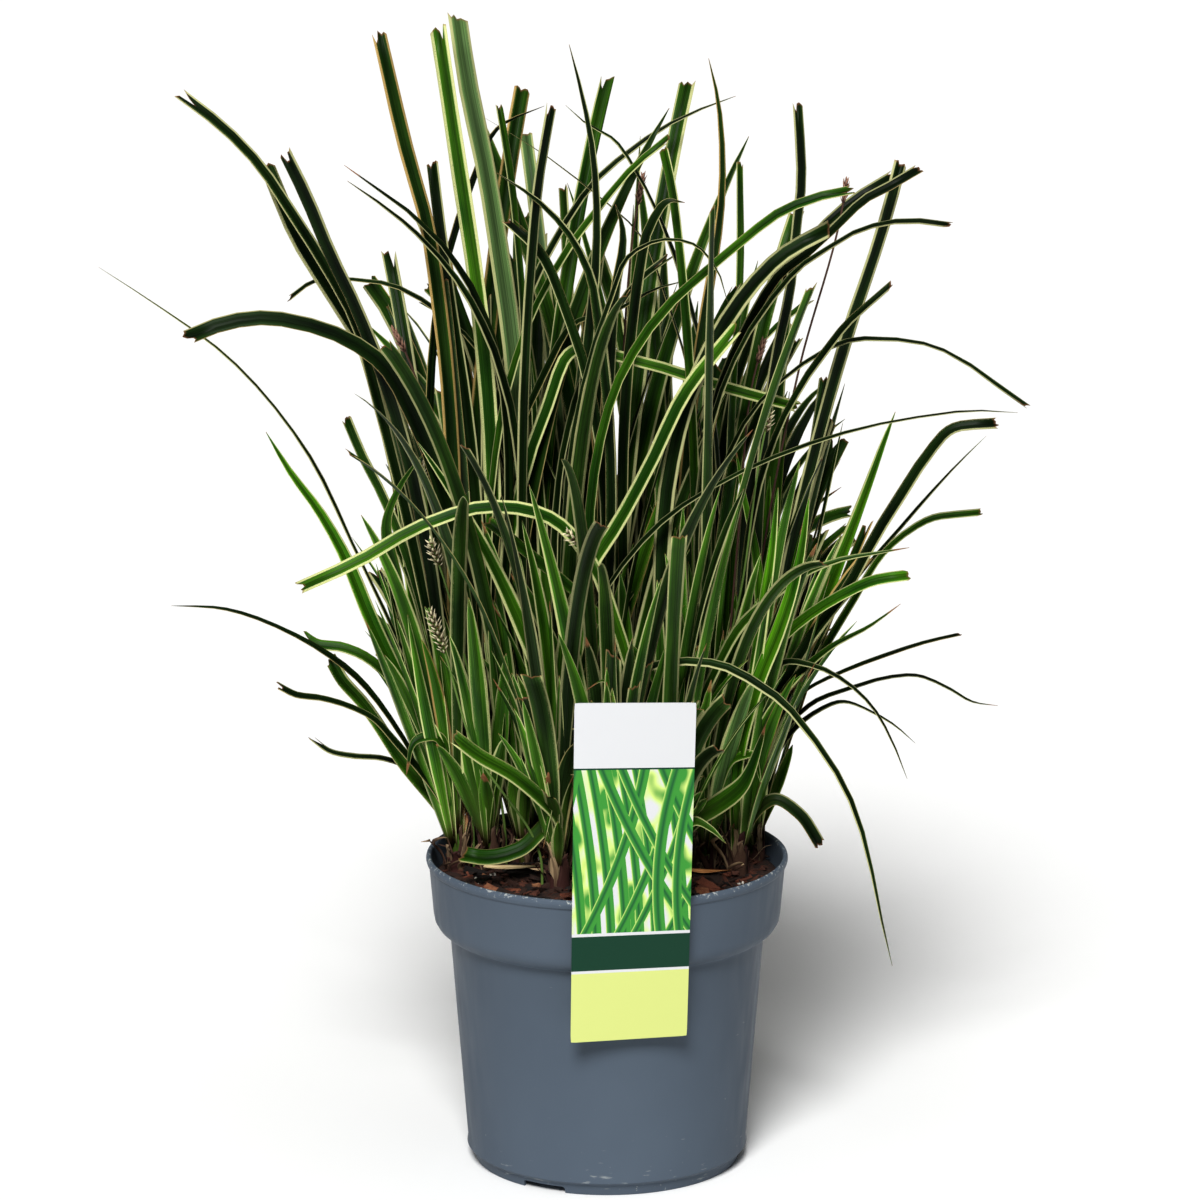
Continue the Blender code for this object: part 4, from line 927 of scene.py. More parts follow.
@dataclass(frozen=True)
class LeafFinish:
    """Living sedge leaf: satin green with fine lengthwise veins, darker along its middle, and a cream margin on each
    side. Whole leaves are dimmed at random, partly as tone that differs from leaf to leaf and partly as painted shade.

    It reads leaf_place (across, along and to the margin, in millimetres), leaf_kind (tone, age, underside) and
    leaf_end (millimetres to the leaf's end, share of its length, whether it ends in a point).
    """

    young: str = "508713"
    young_deep: str = "295A0C"
    old: str = "1A310D"
    old_deep: str = "0B1906"
    cream: str = "D6DC97"
    old_cream: str = "B2B281"
    golden: str = "B2975E"
    underside: str = "7C9A64"
    brown: str = "8C5F42"
    base: str = "8FA651"
    root: str = "3E2018"
    vein_mm: float = 0.8
    roughness: float = 0.37

    def material(self) -> bpy.types.Material:
        """Builds the leaf's procedural material."""
        made, tree, shader = new_material("sedge leaf")
        place = add_node(tree, "Attribute", {"attribute_name": "leaf_place"}).outputs["Vector"]
        kind = add_node(tree, "Attribute", {"attribute_name": "leaf_kind"}).outputs["Vector"]
        end = add_node(tree, "Attribute", {"attribute_name": "leaf_end"}).outputs["Vector"]
        across, along, edge = add_node(tree, "SeparateXYZ", links={0: place}).outputs
        tone, age, under = add_node(tree, "SeparateXYZ", links={0: kind}).outputs
        to_end, _, pointed = add_node(tree, "SeparateXYZ", links={0: end}).outputs
        pick = add_node(tree, "TexWhiteNoise", {"noise_dimensions": "1D"}, {"W": tone}).outputs["Value"]
        hand = add_node(tree, "Math", {"operation": "SIGN"}, {0: across}).outputs[0]
        hand = add_node(tree, "Math", {"operation": "MULTIPLY_ADD", 1: 0.37}, {0: hand, 2: tone}).outputs[0]
        own = add_node(tree, "TexWhiteNoise", {"noise_dimensions": "1D"}, {"W": hand}).outputs["Value"]
        streak, cloud, ribs = self.grain(tree, across, along, tone)
        away = add_node(tree, "Math", {"operation": "ABSOLUTE"}, {0: across}).outputs[0]
        half = add_node(tree, "Math", {"operation": "ADD"}, {0: away, 1: edge}).outputs[0]
        side = add_node(tree, "Math", {"operation": "DIVIDE"}, {0: away, 1: half}).outputs[0]
        colour = self.green(tree, age, under, side, (streak, cloud, ribs))
        # Each leaf's green is dimmed by its own random pick: partly tone that differs from leaf to leaf, partly painted
        # shade over whole leaves.
        painted_leaf_shade = add_node(tree, "MapRange", {3: 1.12, 4: 0.56}, {0: pick}).outputs[0]
        colour = add_node(tree, "VectorMath", {"operation": "SCALE"}, {0: colour, "Scale": painted_leaf_shade}).outputs[0]
        foot = add_node(tree, "MapRange", {1: 65.0, 2: 10.0, 3: 0.0, 4: 0.32}, {0: along}).outputs[0]
        foot = add_node(tree, "Math", {"operation": "MULTIPLY_ADD", 1: -0.3}, {0: streak, 2: foot}).outputs[0]
        colour = add_node(tree, "Mix", {"data_type": "RGBA", 7: linear(self.base)}, {0: foot, 6: colour}).outputs[2]
        start = add_node(tree, "MapRange", {3: 0.67, 4: 1.02}, {0: own}).outputs[0]
        reach = add_node(tree, "Math", {"operation": "MULTIPLY_ADD", 1: 0.12}, {0: streak, 2: side}).outputs[0]
        reach = add_node(tree, "Math", {"operation": "SUBTRACT"}, {0: reach, 1: start}).outputs[0]
        margin = add_node(
            tree, "MapRange", {"interpolation_type": "SMOOTHSTEP", 1: -0.03, 2: 0.08}, {0: reach}
        ).outputs[0]
        cream = add_node(
            tree, "Mix", {"data_type": "RGBA", 6: linear(self.cream), 7: linear(self.old_cream)}, {0: age}
        ).outputs[2]
        # The cream margin is dimmed by the same pick, so whole leaves, margin and all, carry painted shade as well as
        # their own tone.
        dull = add_node(tree, "MapRange", {3: 1.1, 4: 0.6}, {0: pick}).outputs[0]
        cream = add_node(tree, "VectorMath", {"operation": "SCALE"}, {0: cream, "Scale": dull}).outputs[0]
        gold = add_node(tree, "MapRange", {1: 0.958, 2: 0.962}, {0: tone}).outputs[0]
        tan = add_node(tree, "MapRange", {1: 0.62, 2: 0.8, 4: 0.75}, {0: own}).outputs[0]
        tan = add_node(tree, "Math", {"operation": "MULTIPLY"}, {0: tan, 1: age}).outputs[0]
        gold = add_node(tree, "Math", {"operation": "MAXIMUM"}, {0: gold, 1: tan}).outputs[0]
        cream = add_node(tree, "Mix", {"data_type": "RGBA", 7: linear(self.golden)}, {0: gold, 6: cream}).outputs[2]
        colour = add_node(tree, "Mix", {"data_type": "RGBA"}, {0: margin, 6: colour, 7: cream}).outputs[2]
        stain = add_node(tree, "Math", {"operation": "MULTIPLY_ADD", 1: -14.0}, {0: streak, 2: along}).outputs[0]
        stain = add_node(tree, "MapRange", {1: 8.0, 2: -3.0, 3: 0.0, 4: 0.9}, {0: stain}).outputs[0]
        colour = add_node(tree, "Mix", {"data_type": "RGBA", 7: linear(self.root)}, {0: stain, 6: colour}).outputs[2]
        spot = add_node(tree, "MapRange", {1: 0.7, 2: 1.0, 3: 0.3, 4: 9.0}, {0: pick}).outputs[0]
        dry = add_node(tree, "Math", {"operation": "MULTIPLY_ADD", 2: 0.35}, {0: spot, 1: pointed}).outputs[0]
        dry = add_node(tree, "Math", {"operation": "SUBTRACT"}, {0: dry, 1: to_end}).outputs[0]
        dry = add_node(tree, "MapRange", {1: -1.0, 2: 1.2}, {0: dry}).outputs[0]
        colour = add_node(tree, "Mix", {"data_type": "RGBA", 7: linear(self.brown)}, {0: dry, 6: colour}).outputs[2]
        tree.links.new(colour, shader.inputs["Base Color"])
        rough = add_node(tree, "MapRange", {3: self.roughness - 0.06, 4: self.roughness + 0.14}, {0: streak}).outputs[0]
        tree.links.new(rough, shader.inputs["Roughness"])
        shader.inputs["IOR"].default_value = 1.4
        shader.inputs["Specular IOR Level"].default_value = 0.12
        height = add_node(tree, "Math", {"operation": "MULTIPLY"}, {0: streak, 1: ribs}).outputs[0]
        bump = add_node(tree, "Bump", {"Strength": 0.5, "Distance": 0.0003}, {"Height": height}).outputs[0]
        tree.links.new(bump, shader.inputs["Normal"])
        return made

    def grain(
        self,
        tree: bpy.types.NodeTree,
        across: bpy.types.NodeSocket,
        along: bpy.types.NodeSocket,
        tone: bpy.types.NodeSocket,
    ) -> tuple[bpy.types.NodeSocket, bpy.types.NodeSocket, bpy.types.NodeSocket]:
        """The leaf's lengthwise streaks, slow clouds and veins.

        Args:
            tree: The material's node tree.
            across: Millimetres from the leaf's middle.
            along: Millimetres from its root.
            tone: Its own tone, which shifts the grain.

        Returns:
            The streak, cloud and vein values.
        """
        shift = add_node(tree, "Math", {"operation": "MULTIPLY", 1: 311.0}, {0: tone}).outputs[0]
        cell = add_node(tree, "CombineXYZ", links={0: across, 1: along, 2: shift}).outputs[0]
        fine = add_node(tree, "VectorMath", {"operation": "MULTIPLY", 1: (1.5, 0.01, 1.0)}, {0: cell}).outputs[0]
        streak = add_node(tree, "TexNoise", {"Scale": 1.0, "Detail": 3.0}, {"Vector": fine}).outputs["Fac"]
        slow = add_node(tree, "VectorMath", {"operation": "MULTIPLY", 1: (0.1, 0.02, 1.0)}, {0: cell}).outputs[0]
        cloud = add_node(tree, "TexNoise", {"Scale": 1.0, "Detail": 2.0}, {"Vector": slow}).outputs["Fac"]
        phase = add_node(tree, "Math", {"operation": "MULTIPLY", 1: math.tau / self.vein_mm}, {0: across}).outputs[0]
        vein = add_node(tree, "Math", {"operation": "SINE"}, {0: phase}).outputs[0]
        ribs = add_node(tree, "MapRange", {1: -1.0, 2: 1.0, 3: 0.84, 4: 1.1}, {0: vein}).outputs[0]
        return streak, cloud, ribs

    def green(
        self,
        tree: bpy.types.NodeTree,
        age: bpy.types.NodeSocket,
        under: bpy.types.NodeSocket,
        side: bpy.types.NodeSocket,
        grain: tuple[bpy.types.NodeSocket, bpy.types.NodeSocket, bpy.types.NodeSocket],
    ) -> bpy.types.NodeSocket:
        """The leaf's green within its margins.

        Args:
            tree: The material's node tree.
            age: From 0, bright, to 1, dark.
            under: 1 on the underside.
            side: From 0 at the middle to 1 at the edge.
            grain: The streak, cloud and vein values.

        Returns:
            The green's colour.
        """
        streak, cloud, ribs = grain
        spread = add_node(tree, "MapRange", {1: 0.35, 2: 0.65}, {0: cloud}).outputs[0]
        young = add_node(
            tree, "Mix", {"data_type": "RGBA", 6: linear(self.young_deep), 7: linear(self.young)}, {0: spread}
        ).outputs[2]
        old = add_node(
            tree, "Mix", {"data_type": "RGBA", 6: linear(self.old_deep), 7: linear(self.old)}, {0: spread}
        ).outputs[2]
        green = add_node(tree, "Mix", {"data_type": "RGBA"}, {0: age, 6: young, 7: old}).outputs[2]
        pale = add_node(tree, "Math", {"operation": "MULTIPLY", 1: 0.46}, {0: under}).outputs[0]
        green = add_node(tree, "Mix", {"data_type": "RGBA", 7: linear(self.underside)}, {0: pale, 6: green}).outputs[2]
        lift = add_node(tree, "MapRange", {1: 0.3, 2: 0.7, 3: 0.55, 4: 1.45}, {0: streak}).outputs[0]
        band = add_node(tree, "MapRange", {1: 0.15, 2: 0.8, 3: 0.65, 4: 1.45}, {0: side}).outputs[0]
        lift = add_node(tree, "Math", {"operation": "MULTIPLY"}, {0: lift, 1: band}).outputs[0]
        lift = add_node(tree, "Math", {"operation": "MULTIPLY"}, {0: lift, 1: ribs}).outputs[0]
        return add_node(tree, "VectorMath", {"operation": "SCALE"}, {0: green, "Scale": lift}).outputs[0]


@dataclass(frozen=True)
class SheathFinish:
    """Old leaf sheath: papery, maroon at the foot and straw above, with fine fibres. It reads the same attributes."""

    foot: str = "3A1710"
    middle: str = "4E3626"
    straw: str = "CDB28A"
    roughness: float = 0.78

    def material(self) -> bpy.types.Material:
        """Builds the sheath's procedural material."""
        made, tree, shader = new_material("dry leaf sheath")
        place = add_node(tree, "Attribute", {"attribute_name": "leaf_place"}).outputs["Vector"]
        kind = add_node(tree, "Attribute", {"attribute_name": "leaf_kind"}).outputs["Vector"]
        across, along, _ = add_node(tree, "SeparateXYZ", links={0: place}).outputs
        tone, _, _ = add_node(tree, "SeparateXYZ", links={0: kind}).outputs
        shift = add_node(tree, "Math", {"operation": "MULTIPLY", 1: 97.0}, {0: tone}).outputs[0]
        cell = add_node(tree, "CombineXYZ", links={0: across, 1: along, 2: shift}).outputs[0]
        fibres = add_node(tree, "VectorMath", {"operation": "MULTIPLY", 1: (2.4, 0.06, 1.0)}, {0: cell}).outputs[0]
        fibre = add_node(tree, "TexNoise", {"Scale": 1.0, "Detail": 4.0}, {"Vector": fibres}).outputs["Fac"]
        rise = add_node(tree, "Math", {"operation": "MULTIPLY_ADD", 1: 0.018, 2: -0.1}, {0: along}).outputs[0]
        rise = add_node(tree, "Math", {"operation": "MULTIPLY_ADD", 1: 1.25}, {0: tone, 2: rise}).outputs[0]
        mixed = add_node(tree, "Math", {"operation": "MULTIPLY_ADD", 1: 0.5}, {0: fibre, 2: rise}).outputs[0]
        stops = ((0.36, self.foot), (0.66, self.middle), (0.92, self.straw))
        reach = add_node(tree, "MapRange", {1: 0.0, 2: 2.0}, {0: mixed}).outputs[0]
        colour = add_node(tree, "ValToRGB", {"stops": stops}, {0: reach}).outputs[0]
        tree.links.new(colour, shader.inputs["Base Color"])
        shader.inputs["Roughness"].default_value = self.roughness
        bump = add_node(tree, "Bump", {"Strength": 0.7, "Distance": 0.0004}, {"Height": fibre}).outputs[0]
        tree.links.new(bump, shader.inputs["Normal"])
        return made


@dataclass(frozen=True)
class DryFinish:
    """Dead leaf: papery and dull, with long fibres and darker stains. It reads leaf_place."""

    name: str
    stain: str
    pale: str
    roughness: float = 0.7

    def material(self) -> bpy.types.Material:
        """Builds the dead leaf's procedural material."""
        made, tree, shader = new_material(self.name)
        place = add_node(tree, "Attribute", {"attribute_name": "leaf_place"}).outputs["Vector"]
        across, along, _ = add_node(tree, "SeparateXYZ", links={0: place}).outputs
        cell = add_node(tree, "CombineXYZ", links={0: across, 1: along}).outputs[0]
        fibres = add_node(tree, "VectorMath", {"operation": "MULTIPLY", 1: (2.6, 0.12, 1.0)}, {0: cell}).outputs[0]
        fibre = add_node(tree, "TexNoise", {"Scale": 1.0, "Detail": 4.0}, {"Vector": fibres}).outputs["Fac"]
        reach = add_node(tree, "MapRange", {1: 0.35, 2: 0.65}, {0: fibre}).outputs[0]
        colour = add_node(
            tree, "Mix", {"data_type": "RGBA", 6: linear(self.stain), 7: linear(self.pale)}, {0: reach}
        ).outputs[2]
        tree.links.new(colour, shader.inputs["Base Color"])
        shader.inputs["Roughness"].default_value = self.roughness
        bump = add_node(tree, "Bump", {"Strength": 0.6, "Distance": 0.0003}, {"Height": fibre}).outputs[0]
        tree.links.new(bump, shader.inputs["Normal"])
        return made


@dataclass(frozen=True)
class SpikeFinish:
    """Sedge spikelet scales: papery, with a pale edge and a dark back. It reads scale_kind (tone, tip, stem)."""

    name: str
    back: str
    tip: str
    stem: str
    roughness: float = 0.75

    def material(self) -> bpy.types.Material:
        """Builds the spike's procedural material."""
        made, tree, shader = new_material(self.name)
        kind = add_node(tree, "Attribute", {"attribute_name": "scale_kind"}).outputs["Vector"]
        tone, tip, stem = add_node(tree, "SeparateXYZ", links={0: kind}).outputs
        place = add_node(tree, "TexCoord").outputs["Object"]
        grain = add_node(tree, "TexNoise", {"Scale": 900.0, "Detail": 3.0}, {"Vector": place}).outputs["Fac"]
        reach = add_node(tree, "Math", {"operation": "MULTIPLY_ADD", 1: 0.35}, {0: grain, 2: tip}).outputs[0]
        reach = add_node(tree, "MapRange", {1: 0.45, 2: 0.85}, {0: reach}).outputs[0]
        colour = add_node(
            tree, "Mix", {"data_type": "RGBA", 6: linear(self.back), 7: linear(self.tip)}, {0: reach}
        ).outputs[2]
        lift = add_node(tree, "MapRange", {3: 0.8, 4: 1.15}, {0: tone}).outputs[0]
        colour = add_node(tree, "VectorMath", {"operation": "SCALE"}, {0: colour, "Scale": lift}).outputs[0]
        colour = add_node(tree, "Mix", {"data_type": "RGBA", 7: linear(self.stem)}, {0: stem, 6: colour}).outputs[2]
        tree.links.new(colour, shader.inputs["Base Color"])
        shader.inputs["Roughness"].default_value = self.roughness
        bump = add_node(tree, "Bump", {"Strength": 0.4, "Distance": 0.0002}, {"Height": grain}).outputs[0]
        tree.links.new(bump, shader.inputs["Normal"])
        return made


@dataclass(frozen=True)
class BarkFinish:
    """Damp bark compost: dark crumbs with red-brown and paler chips. Chips read chip_kind (tone)."""

    dark: str = "140C08"
    brown: str = "3A2015"
    red: str = "6E3A26"
    pale: str = "A07350"
    crumb_mm: float = 2.2
    roughness: float = 0.85

    def material(self, chips: bool) -> bpy.types.Material:
        """Builds the bed's or the chips' procedural material.

        Args:
            chips: Whether it is for the loose chips, which have a tone each.
        """
        made, tree, shader = new_material("bark chip" if chips else "bark compost")
        place = add_node(tree, "TexCoord").outputs["Object"]
        crumb = add_node(
            tree, "TexNoise", {"Scale": 1000.0 / self.crumb_mm, "Detail": 5.0, "Roughness": 0.65}, {"Vector": place}
        ).outputs["Fac"]
        tone = crumb
        if chips:
            kind = add_node(tree, "Attribute", {"attribute_name": "chip_kind"}).outputs["Vector"]
            own = add_node(tree, "SeparateXYZ", links={0: kind}).outputs[0]
            tone = add_node(tree, "Math", {"operation": "MULTIPLY_ADD", 1: 0.35, 2: -0.17}, {0: crumb}).outputs[0]
            tone = add_node(tree, "Math", {"operation": "ADD"}, {0: own, 1: tone}).outputs[0]
        places = (0.3, 0.55, 0.82, 1.0) if chips else (0.35, 0.6, 0.8, 0.95)
        stops = tuple(zip(places, (self.dark, self.brown, self.red, self.pale)))
        colour = add_node(tree, "ValToRGB", {"stops": stops}, {0: tone}).outputs[0]
        tree.links.new(colour, shader.inputs["Base Color"])
        shader.inputs["Roughness"].default_value = self.roughness
        bump = add_node(tree, "Bump", {"Strength": 0.9, "Distance": 0.0012}, {"Height": crumb}).outputs[0]
        tree.links.new(bump, shader.inputs["Normal"])
        return made


@dataclass(frozen=True)
class PotFinish:
    """Moulded polypropylene: satin slate blue, faintly mottled, with lime dust at the rim and rubbed marks below."""

    body: str = "58636F"
    body_deep: str = "4E5864"
    lime: str = "B9BCB8"
    roughness: float = 0.44

    def material(self) -> bpy.types.Material:
        """Builds the pot's procedural material."""
        made, tree, shader = new_material("moulded polypropylene")
        place = add_node(tree, "TexCoord").outputs["Object"]
        cloud = add_node(tree, "TexNoise", {"Scale": 14.0, "Detail": 3.0}, {"Vector": place}).outputs["Fac"]
        grain = add_node(tree, "TexNoise", {"Scale": 1400.0, "Detail": 2.0}, {"Vector": place}).outputs["Fac"]
        specks = add_node(
            tree, "TexNoise", {"Scale": 420.0, "Detail": 4.0, "Roughness": 0.7}, {"Vector": place}
        ).outputs["Fac"]
        _, _, high = add_node(tree, "SeparateXYZ", links={0: place}).outputs
        colour = add_node(
            tree, "Mix", {"data_type": "RGBA", 6: linear(self.body_deep), 7: linear(self.body)}, {0: cloud}
        ).outputs[2]
        rim = add_node(tree, "MapRange", {1: 0.1585, 2: 0.1635, 3: 0.0, 4: 0.17}, {0: high}).outputs[0]
        foot = add_node(tree, "MapRange", {1: 0.03, 2: 0.004, 3: 0.0, 4: 0.06}, {0: high}).outputs[0]
        dust = add_node(tree, "Math", {"operation": "ADD"}, {0: rim, 1: foot}).outputs[0]
        dust = add_node(tree, "Math", {"operation": "ADD"}, {0: dust, 1: specks}).outputs[0]
        dust = add_node(tree, "MapRange", {1: 0.72, 2: 0.8, 3: 0.0, 4: 0.75}, {0: dust}).outputs[0]
        colour = add_node(tree, "Mix", {"data_type": "RGBA", 7: linear(self.lime)}, {0: dust, 6: colour}).outputs[2]
        low = add_node(tree, "MapRange", {1: 0.03, 2: 0.004, 3: 0.0, 4: 0.1}, {0: high}).outputs[0]
        flat = add_node(tree, "VectorMath", {"operation": "MULTIPLY", 1: (90.0, 90.0, 420.0)}, {0: place}).outputs[0]
        scuff = add_node(tree, "TexNoise", {"Scale": 1.0, "Detail": 4.0}, {"Vector": flat}).outputs["Fac"]
        scuff = add_node(tree, "Math", {"operation": "ADD"}, {0: scuff, 1: low}).outputs[0]
        scuff = add_node(tree, "MapRange", {1: 0.74, 2: 0.82, 3: 0.0, 4: 0.4}, {0: scuff}).outputs[0]
        colour = add_node(tree, "Mix", {"data_type": "RGBA", 7: linear(self.lime)}, {0: scuff, 6: colour}).outputs[2]
        tree.links.new(colour, shader.inputs["Base Color"])
        long = add_node(tree, "VectorMath", {"operation": "MULTIPLY", 1: (22.0, 22.0, 5.0)}, {0: place}).outputs[0]
        rubbed = add_node(tree, "TexNoise", {"Scale": 6.0, "Detail": 5.0}, {"Vector": long}).outputs["Fac"]
        rough = add_node(
            tree, "MapRange", {1: 0.3, 2: 0.7, 3: self.roughness - 0.05, 4: self.roughness + 0.12}, {0: rubbed}
        ).outputs[0]
        tree.links.new(rough, shader.inputs["Roughness"])
        shader.inputs["Specular IOR Level"].default_value = 0.1
        bump = add_node(tree, "Bump", {"Strength": 0.12, "Distance": 0.0001}, {"Height": grain}).outputs[0]
        tree.links.new(bump, shader.inputs["Normal"])
        return made


@dataclass(frozen=True)
class LabelFinish:
    """Printed sheet plastic: a plain design in bands, with fans of arching blades in the picture band."""

    white: str = "CDCED0"
    deep: str = "133D2C"
    lime: str = "C9D182"
    leaf: str = "3F8F3A"
    leaf_deep: str = "1D5C33"
    light: str = "C6DC7E"
    roughness: float = 0.3
    layers: tuple[tuple[float, float, float, float], ...] = (
        (0.12, 0.05, 8.0, 0.7),
        (-0.35, 0.12, 7.0, 0.55),
        (0.55, -0.1, 6.0, 0.5),
        (-0.05, -0.14, 6.0, 0.45),
    )

    def material(self) -> bpy.types.Material:
        """Builds the label's print on its own UV map, u across and v up."""
        made, tree, shader = new_material("printed sheet plastic")
        flat = add_node(tree, "UVMap", {"uv_map": "print"}).outputs[0]
        across, up, _ = add_node(tree, "SeparateXYZ", links={0: flat}).outputs
        picture = self.picture(tree, across, up)
        steps = (
            (0.205, self.lime),
            (0.213, self.white),
            (0.315, self.deep),
            (0.324, self.white),
            (0.806, None),
            (0.811, self.deep),
            (1.0, self.white),
        )
        colour: Optional[bpy.types.NodeSocket] = None
        for top, code in reversed(steps):
            mask = add_node(tree, "Math", {"operation": "LESS_THAN", 1: top}, {0: up}).outputs[0]
            links = {0: mask}
            settings: dict[Any, Any] = {"data_type": "RGBA"}
            if colour is None:
                settings[6] = linear(self.white)
            else:
                links[6] = colour
            if code:
                settings[7] = linear(code)
            else:
                links[7] = picture
            colour = add_node(tree, "Mix", settings, links).outputs[2]
        tree.links.new(colour, shader.inputs["Base Color"])
        shader.inputs["Roughness"].default_value = self.roughness
        shader.inputs["Specular IOR Level"].default_value = 0.18
        return made

    def picture(
        self, tree: bpy.types.NodeTree, across: bpy.types.NodeSocket, up: bpy.types.NodeSocket
    ) -> bpy.types.NodeSocket:
        """The picture band: layers of crossing bowed blades over a soft pale ground.

        Args:
            tree: The material's node tree.
            across: The place across the label.
            up: The place up the label.

        Returns:
            The picture's colour.
        """
        flat = add_node(tree, "CombineXYZ", links={0: across, 1: up}).outputs[0]
        soft = add_node(tree, "VectorMath", {"operation": "MULTIPLY", 1: (5.0, 9.0, 1.0)}, {0: flat}).outputs[0]
        blur = add_node(tree, "TexNoise", {"Scale": 1.0, "Detail": 1.0}, {"Vector": soft}).outputs["Fac"]
        stops = ((0.36, self.leaf), (0.46, self.light), (0.56, self.white))
        colour = add_node(tree, "ValToRGB", {"stops": stops}, {0: blur}).outputs[0]
        for slope, bow, count, share in self.layers:
            y = add_node(tree, "Math", {"operation": "MULTIPLY_ADD", 1: 3.0, 2: -1.6}, {0: up}).outputs[0]
            bowed = add_node(tree, "Math", {"operation": "MULTIPLY", 1: bow}, {0: y}).outputs[0]
            bowed = add_node(tree, "Math", {"operation": "MULTIPLY_ADD"}, {0: bowed, 1: y, 2: across}).outputs[0]
            run = add_node(tree, "Math", {"operation": "MULTIPLY_ADD", 1: slope}, {0: y, 2: bowed}).outputs[0]
            run = add_node(tree, "Math", {"operation": "MULTIPLY_ADD", 1: count, 2: 7.0 + slope}, {0: run}).outputs[0]
            part = add_node(tree, "Math", {"operation": "FRACT"}, {0: run}).outputs[0]
            whole = add_node(tree, "Math", {"operation": "FLOOR"}, {0: run}).outputs[0]
            pick = add_node(tree, "TexWhiteNoise", {"noise_dimensions": "1D"}, {"W": whole}).outputs["Value"]
            stops = (
                (0.0, self.light),
                (0.09, self.leaf),
                (0.28, self.leaf_deep),
                (0.42, self.leaf),
                (0.66, self.leaf),
                (0.74, self.light),
            )
            blade = add_node(tree, "ValToRGB", {"stops": stops}, {0: part}).outputs[0]
            wide = add_node(tree, "MapRange", {3: 0.45, 4: 0.8}, {0: pick}).outputs[0]
            inside = add_node(tree, "Math", {"operation": "LESS_THAN"}, {0: part, 1: wide}).outputs[0]
            keep = add_node(tree, "Math", {"operation": "LESS_THAN", 1: share}, {0: pick}).outputs[0]
            keep = add_node(tree, "Math", {"operation": "MULTIPLY"}, {0: keep, 1: inside}).outputs[0]
            colour = add_node(tree, "Mix", {"data_type": "RGBA"}, {0: keep, 6: colour, 7: blade}).outputs[2]
        return colour


# The pieces.


@dataclass
class Blades:
    """The leaf pattern, modelled once flat and bent along each leaf's course."""

    columns: int = 6
    rows: int = 22
    thick: float = 0.36
    points: np.ndarray = field(default_factory=lambda: np.zeros((0, 3)))
    faces: list[tuple[int, ...]] = field(default_factory=list)

    def model(self) -> None:
        """Models the flat leaf: a grid across -1 to 1 and along 0 to 1, given its thickness."""
        deselect()
        bpy.ops.mesh.primitive_grid_add(x_subdivisions=self.columns, y_subdivisions=self.rows, size=2)
        sheet = bpy.context.object
        bpy.ops.object.mode_set(mode="EDIT")
        bpy.ops.mesh.select_all(action="SELECT")
        bpy.ops.transform.translate(value=(0, 1, 0))
        bpy.ops.transform.resize(value=(1, 0.5, 1), center_override=(0, 0, 0))
        bpy.ops.object.mode_set(mode="OBJECT")
        step = sheet.modifiers.new("thickness", "SOLIDIFY")
        step.thickness = 1.0
        step.offset = 0.0
        apply_modifiers(sheet)
        sit_at_origin(sheet)
        self.points, self.faces = take_mesh(sheet)

    def bend(self, leaf: Leaf, draw: random.Random) -> tuple[np.ndarray, dict[str, np.ndarray]]:
        """Bends the pattern along a leaf.

        Args:
            leaf: The leaf with its fine stations.
            draw: The draw for its torn end.

        Returns:
            The points in millimetres and the attribute values.
        """
        count = len(leaf.points)
        u, v, side = self.points[:, 0], self.points[:, 1], np.sign(self.points[:, 2])
        at = np.clip(v, 0.0, 1.0) * (count - 1)
        low = np.minimum(at.astype(int), count - 2)
        part = (at - low)[:, None]
        places = np.array([tuple(p) for p in leaf.points])
        tangents = np.array([tuple(t) for t in leaf.tangents])
        uppers = np.array([tuple(n) for n in leaf.uppers])
        centre = places[low] * (1 - part) + places[low + 1] * part
        tangent = tangents[low] * (1 - part) + tangents[low + 1] * part
        upper = uppers[low] * (1 - part) + uppers[low + 1] * part
        across = np.cross(tangent, upper)
        widths = np.array([leaf.width_at(index / (count - 1), 0.56) for index in range(count)])
        half = 0.5 * np.maximum(widths[low] * (1 - part[:, 0]) + widths[low + 1] * part[:, 0], 0.3)
        along = np.array(lengths_along(leaf.points))
        run = along[low] * (1 - part[:, 0]) + along[low + 1] * part[:, 0]
        fold = (0.42 - 0.16 * leaf.age) * half
        wave = 0.06 * half * np.sin(run * 0.07 + 20 * leaf.tone) * u
        crown = fold * (np.abs(u) - 0.5) - 0.07 * half * np.cos(2 * u * math.pi) + wave
        thick = self.thick * (0.55 + 0.45 * (1 - np.abs(u))) * np.minimum(1.0, half / 1.5)
        ahead = np.zeros(len(u))
        if not leaf.pointed:
            last = v > 1 - 0.5 / (self.rows - 1)
            jags = {round(c, 3): draw.uniform(-1.8, 1.2) for c in sorted(set(np.round(u, 3)))}
            notch = draw.uniform(-0.7, 0.7) if draw.random() < 0.4 else 9.0
            deep = draw.uniform(4.0, 11.0)
            for index in np.nonzero(last)[0]:
                ahead[index] = jags[round(u[index], 3)] - leaf.slant * half[index] * u[index]
                ahead[index] -= deep * max(0.0, 1.0 - abs(u[index] - notch) / 0.4)
        points = centre + across * (u * half)[:, None] + upper * (crown + 0.5 * side * thick)[:, None]
        points += tangent * ahead[:, None]
        edge = half * (1 - np.abs(u))
        place = np.stack([u * half, run, edge], axis=1)
        under = np.where(side < 0, 0.16, 0.0)
        kind = np.stack([np.full(len(u), leaf.tone), np.full(len(u), leaf.age), under], axis=1)
        if 0.94 < leaf.tone < 0.957:
            kind[:, 2] = 1.0
        end = np.stack([along[-1] - run, v, np.full(len(u), float(leaf.pointed))], axis=1)
        return points, {"leaf_place": place, "leaf_kind": kind, "leaf_end": end}


